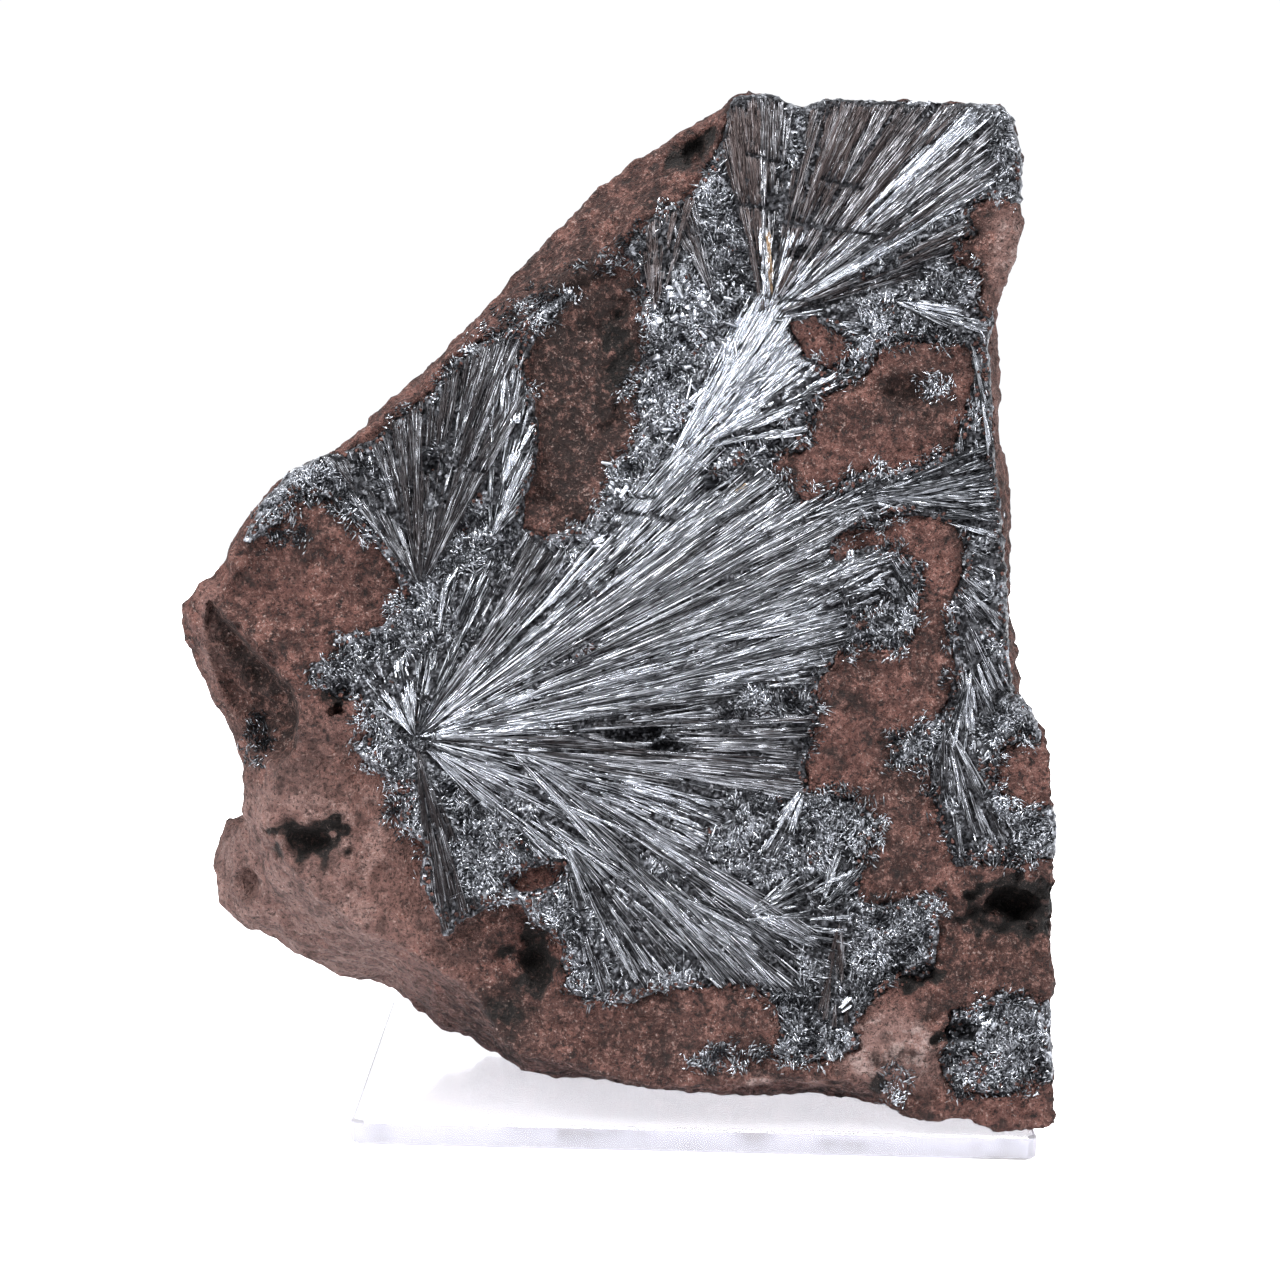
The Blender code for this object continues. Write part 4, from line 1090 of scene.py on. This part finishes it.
# %% Map the felt
FELT_SPOTS = [
    (-38.6, 40, 1.6, 2.6), (-30.5, 47, 2, 2), (8.5, 8.4, 4.2, 1.4), (25.4, 5.4, 1.6, 2.4),
    (-35.2, 60.5, 2.5, 1), (19.5, 31, 1.5, 2), (26.5, 40, 2, 1.2), (20, 34, 2.5, 1.2),
    (-24.5, 33, 1.2, 2), (-27, 42, 1.5, 1.2), (38.5, 29.5, 2.2, 1.4), (29, 24, 1, 2),
    (14.5, 66, 1.5, 1.5), (-0.5, 75, 1.2, 3), (22.5, 62, 2.5, 0.8), (-15.5, 80.7, 2.2, 1.1),
    (-12, 83, 2.6, 1.4), (-8.5, 84.7, 2.2, 1.4), (-5.5, 86.8, 2, 1.1), (-3, 88.4, 1.7, 1),
    (-0.8, 90.5, 1.5, 1.2), (29.5, 75.5, 1.2, 1.6),
]
FRINGE = 0.12

near_trunk = np.exp(-(((grid_u - 5) / 9) ** 2) - ((grid_v - 74) / 12) ** 2)
shade_map = -0.02 + 0.7 * slow_noise(1.4, 5) + 0.17 * near_trunk
outlying = np.zeros(whole.shape, bool)
stray = 0.45 + slow_noise(0.8, 17)
for oval in FELT_SPOTS:
    outlying |= from_oval(grid_u, grid_v, *oval) < stray
shade_map -= 0.15 * (outlying & ~whole)
frayed = (slow_noise(0.8, 12) - 0.5) * 0.9 + (slow_noise(2.2, 14) - 0.5) * 0.6
fringe = spread(whole, 40)
ragged = np.where(fringe > FRINGE, fringe + frayed, 0)
open_ground = holes < 0.35
feltable = bare & open_ground
bright_felt = whole & feltable & (near_trunk > 0.25)
print("felt covers", round(float(feltable[ragged > 0.5].sum()) * GRID_STEP**2), "mm2")

# %% [markdown]
# ### Tufts
# A tuft is a handful of splinters that share a heading, a tilt and a tone and differ a little. Some tufts
# are long enough to be little sheaves.

# %% Make tufts and little sheaves


def spots_on(mask, count):
    """Random points on the grid where the mask holds."""
    rows, columns = np.nonzero(mask)
    chosen = chance.integers(0, len(rows), count)
    middle = np.stack([GRID_U[columns[chosen]], GRID_V[rows[chosen]]], 1)
    return middle + chance.uniform(-0.5, 0.5, (count, 2)) * GRID_STEP


def lying(middle, half, height, rise, **rest):
    """Needles that reach half of their stride to both sides of a middle, each with its own rise."""
    near = {"near": middle - half, "near_lift": height - rise}
    far = {"far": middle + half, "far_lift": height + rise}
    return {**near, **far, "tarnish": np.zeros(len(middle)), **rest}


def tufts(mask, count, size, rise, width, each=8, scatter=0.35, lean=0.35):
    """Short splinters in small tufts over the crust."""
    middle = spots_on(mask, count)
    tone = np.repeat(read_map(shade_map, *middle.T) + chance.normal(0, 0.22, count), each)
    middle = np.repeat(middle, each, axis=0) + chance.normal(0, scatter, (count * each, 2))
    total = len(middle)
    heading = np.repeat(chance.uniform(0, math.tau, count), each) + chance.normal(0, 0.3, total)
    length = size * chance.uniform(0.2, 1.0, total) ** 1.5 + 0.3
    half = length[:, None] * pointing(heading) / 2
    tilt = np.repeat(chance.normal(0, lean, count), each) + chance.normal(0, 0.2, total)
    height = rise + np.repeat(chance.uniform(-0.3, 0.3, count), each) + chance.uniform(-0.15, 0.15, total)
    return lying(
        middle, half, height, tilt * length / 2,
        tone=np.clip(tone + chance.normal(0, 0.16, total), 0.0, 1.0),
        roll=np.repeat(chance.uniform(-1, 1, count), each) + chance.normal(0, 0.3, total),
        width=width * chance.uniform(0.5, 1.8, total),
    )


def little_sheaves(mask, count):
    """Little sheaves that point every way."""
    middle = spots_on(mask, count)
    heading = chance.uniform(0, math.tau, count)
    length = chance.uniform(1.2, 4.0, count)
    tone = read_map(shade_map, *middle.T) + chance.normal(0.1, 0.3, count)
    rise = chance.uniform(-0.1, 0.3, count)
    opening = length * 0.2 + 0.2
    return sheaves(middle, heading, length, opening, rise, tone, np.zeros(count), each=9, width=0.14)


# %% [markdown]
# ### Scatter the felt
# Coarse felt goes down first and finer felt over it, further out on the rock. Flakes are broader and
# flatter splinters, and a few big ones lie in the bright felt.

# %% Scatter the felt
small = joined([little_sheaves(whole & feltable, 1100), little_sheaves(bright_felt, 260)])
plant("little_sheaves", SPLINTER, on_ground(small, shore))
plant("felt_1", SPLINTER, tufts((ragged > 0.47) & feltable, 2600, 1.3, 0.0, 0.15, each=10))
plant("felt_2", SPLINTER, tufts((ragged > 0.38) & feltable, 2700, 0.6, 0.05, 0.13, each=10))
plant("outlying_felt", SPLINTER, tufts(outlying & open_ground, 900, 0.8, 0.0, 0.15, each=9))
flakes = tufts((ragged > 0.5) & feltable, 1100, 1.0, 0.05, 0.32, each=3, scatter=0.4, lean=0.5)
plant("flakes", SPLINTER, flakes, flatness=0.3)
flakes = tufts(bright_felt, 110, 1.4, 0.2, 0.5, each=2, scatter=0.4, lean=0.5)
plant("big_flakes", PRISM, flakes, flatness=0.2)

# %% [markdown]
# ### Mirror flakes
# A few crystals broke along a flat face, and each flashes like a small mirror. They are placed one by one:
# where, which way they point and how long they are. Each is a little stack, so that one always flashes.

# %% Lay the mirror flakes
MIRRORS = [
    (-19, 56, 60, 2.4), (-12.4, 72, 75, 1.2), (21, 58.5, 80, 1.4), (20.5, 13.6, 40, 1.6),
    (5.5, 74.5, 50, 2.6), (10.5, 73.5, 40, 3), (-4.3, 59.6, 20, 1.5), (-24, 47.2, 100, 1.6),
    (34.5, 12.2, 30, 1.3), (8.8, 79, 80, 2.2),
]
MIRROR_STACK = 5
MIRROR_LIFT = 0.35

*place, degrees, long = np.repeat(np.array(MIRRORS), MIRROR_STACK, axis=0).T
count = len(long)
heading = np.radians(degrees + chance.normal(0, 12, count))
half = long[:, None] * chance.uniform(0.6, 1.0, (count, 1)) * pointing(heading) / 2
middle = np.stack(place, 1) + chance.normal(0, 0.35, (count, 2))
rise = chance.normal(0, 0.25, count) * long / 2
mirrors = lying(
    middle, half, MIRROR_LIFT, rise, tone=np.ones(count), roll=chance.normal(0, 0.5, count),
    width=chance.uniform(0.22, 0.55, count),
)
plant("mirror_flakes", PRISM, mirrors, flatness=0.15)

# %% [markdown]
# ### Crumbs of rock
# Crumbs of the brown rock cling to the crust's edge and sit here and there in the felt. They are small
# lumps with a few flat faces each, made from one rounded lump that is copied, turned and stretched.

# %% Scatter the crumbs
bpy.ops.mesh.primitive_ico_sphere_add(subdivisions=1, radius=0.5, location=(0.5, 0, 0))
bpy.ops.object.transform_apply(location=True)
lump = bpy.context.object
LUMP = points_of(lump), faces_of(lump)
bpy.data.objects.remove(lump)
edge = (near_crust > 0.25) & (near_crust < 0.7) & (soft_crust + soft_rock > 0.9)
inside = whole & (slow_noise(2.0, 21) > 0.74) & bare
middle = np.concatenate([spots_on(edge, 4000), spots_on(inside, 900)])
count = len(middle)
heading = chance.uniform(0, math.tau, count)
half = chance.uniform(0.12, 0.55, count)[:, None] * pointing(heading) / 2
deep = read_map(ground, *middle.T) - chance.uniform(-0.1, 0.25, count)
sound = np.isfinite(deep)
roots = np.column_stack([middle - half, deep])[sound]
tips = np.column_stack([middle + half, deep + chance.normal(0, 0.1, count)])[sound]
wide = 2 * np.hypot(*half.T)[sound] * chance.uniform(0.6, 1.1, len(roots))
crumbs_piece = grow("rock_crumbs", LUMP, roots, tips, wide, wide * 0.8, np.zeros(len(roots)))
crumbs_piece.data.materials.append(rock.data.materials[0])
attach(crumbs_piece, "root")
print("crumbs:", len(roots))

# %% [markdown]
# ## The acrylic square
# The base is cut from clear sheet with polished faces and sawn, slightly dull edges. Its CAD solid already
# has the true size and eased edges, so it is kept and only given its material: plain transmission with
# acrylic's own refractive index, and a faint absorption inside, which greys the sheet where light runs
# along it and so lets its front edge be seen.

# %% The base's finish
acrylic = Finish(
    "clear acrylic", Base_Color=colour(0.92, 0.915, 0.95), Roughness=0.14, IOR=1.49, Transmission_Weight=0.88
)
tint = {"Color": colour(0.80, 0.80, 0.88), "Density": 30.0}
absorption = acrylic.node("ShaderNodeVolumeAbsorption", {}, tint)
acrylic.links.new(absorption.outputs["Volume"], acrylic.nodes["Material Output"].inputs["Volume"])
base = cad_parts["display_base"]
base.data.materials.clear()
base.data.materials.append(acrylic.material)
print("the base's finish:", acrylic.material.name)

# %% [markdown]
# ## Stage, light and camera
# The specimen stands on a plain white surface that is lit softly from below, as a light table is: clear
# acrylic looks clear only when there is light behind it.

# %% Floor
FLOOR_HALF = 0.5
FLOOR_DROP = 0.0002
bpy.ops.object.select_all(action="DESELECT")
bpy.ops.mesh.primitive_plane_add(size=2 * FLOOR_HALF, location=(0, 0, -FLOOR_DROP))
floor = bpy.context.object
floor.name = "floor"
floor_finish = Finish(
    "light table", Base_Color=colour(0.30, 0.30, 0.31), Roughness=0.9, Emission_Color=colour(1.0, 0.99, 1.0),
    Emission_Strength=2.1
)
floor.data.materials.append(floor_finish.material)
print("the floor is", 2 * FLOOR_HALF, "m wide")

# %% [markdown]
# ### Light
# Metal shows what is around it, so it needs bright soft boxes to reflect and a darker room between them.
# Each box is a square light that is turned towards the middle of the stone.

# %% Soft boxes
LIT_POINT = Vector((0, -0.02, 0.05))


def soft_box(name, place, size, power):
    """A square light turned to the stone, with its size in metres and its power in watts."""
    lamp = bpy.data.lights.new(name, "AREA")
    lamp.size = size
    lamp.energy = power
    box = added(name, lamp)
    box.location = place
    box.rotation_euler = (LIT_POINT - box.location).to_track_quat("-Z", "Y").to_euler()
    print(name, "soft box:", size, "m wide,", power, "W")


soft_box("key", Vector((-0.42, -0.42, 0.62)), 0.40, 12.0)
soft_box("top", Vector((0.05, -0.15, 0.85)), 0.50, 10.0)
soft_box("right", Vector((0.50, -0.45, 0.55)), 0.30, 4.0)

# %% [markdown]
# ### The room
# The room is white behind the stone, so that the floor runs on into it, and fades to grey behind the
# camera, where the needles find their dark reflections.

# %% The room: white behind the stone, dim behind the camera
world = bpy.data.worlds.new("room")
world.use_nodes = True
tree = world.node_tree
background = tree.nodes["Background"]
direction = tree.nodes.new("ShaderNodeTexCoord").outputs["Generated"]
parts = tree.nodes.new("ShaderNodeSeparateXYZ")
tree.links.new(direction, parts.inputs[0])
fade = tree.nodes.new("ShaderNodeMapRange")
fade.interpolation_type = "SMOOTHSTEP"
for key, value in (("From Min", -0.35), ("From Max", 0.65), ("To Min", 0.30), ("To Max", 1.05)):
    fade.inputs[key].default_value = value
tree.links.new(parts.outputs["Y"], fade.inputs["Value"])
tree.links.new(fade.outputs[0], background.inputs["Strength"])
background.inputs["Color"].default_value = colour(0.97, 0.98, 1.0)
bpy.context.scene.world = world
bpy.context.scene.view_settings.view_transform = "Standard"
print("nodes in the room:", len(tree.nodes))

# %% [markdown]
# ### The camera
# The camera looks straight at the face from less than half a metre, through a long lens, and so it leans
# down as the face leans back.

# %% Camera
CAMERA_DISTANCE = 0.4554
CAMERA_LENS = 128.1
AIM_HEIGHT = 0.050

eye = bpy.data.cameras.new("camera")
eye.lens = CAMERA_LENS
eye.sensor_width = 36.0
eye.clip_start = 0.01
eye.clip_end = 10.0
camera = added("camera", eye)
right, into, up = FACE.to_3x3().col
stand = Matrix.Translation(FACE.translation + up * AIM_HEIGHT - into * CAMERA_DISTANCE)
camera.matrix_world = stand @ Matrix((right, up, -into)).transposed().to_4x4()
bpy.context.scene.camera = camera
print("the camera stands at", [round(c / MM) for c in camera.matrix_world.translation], "mm")
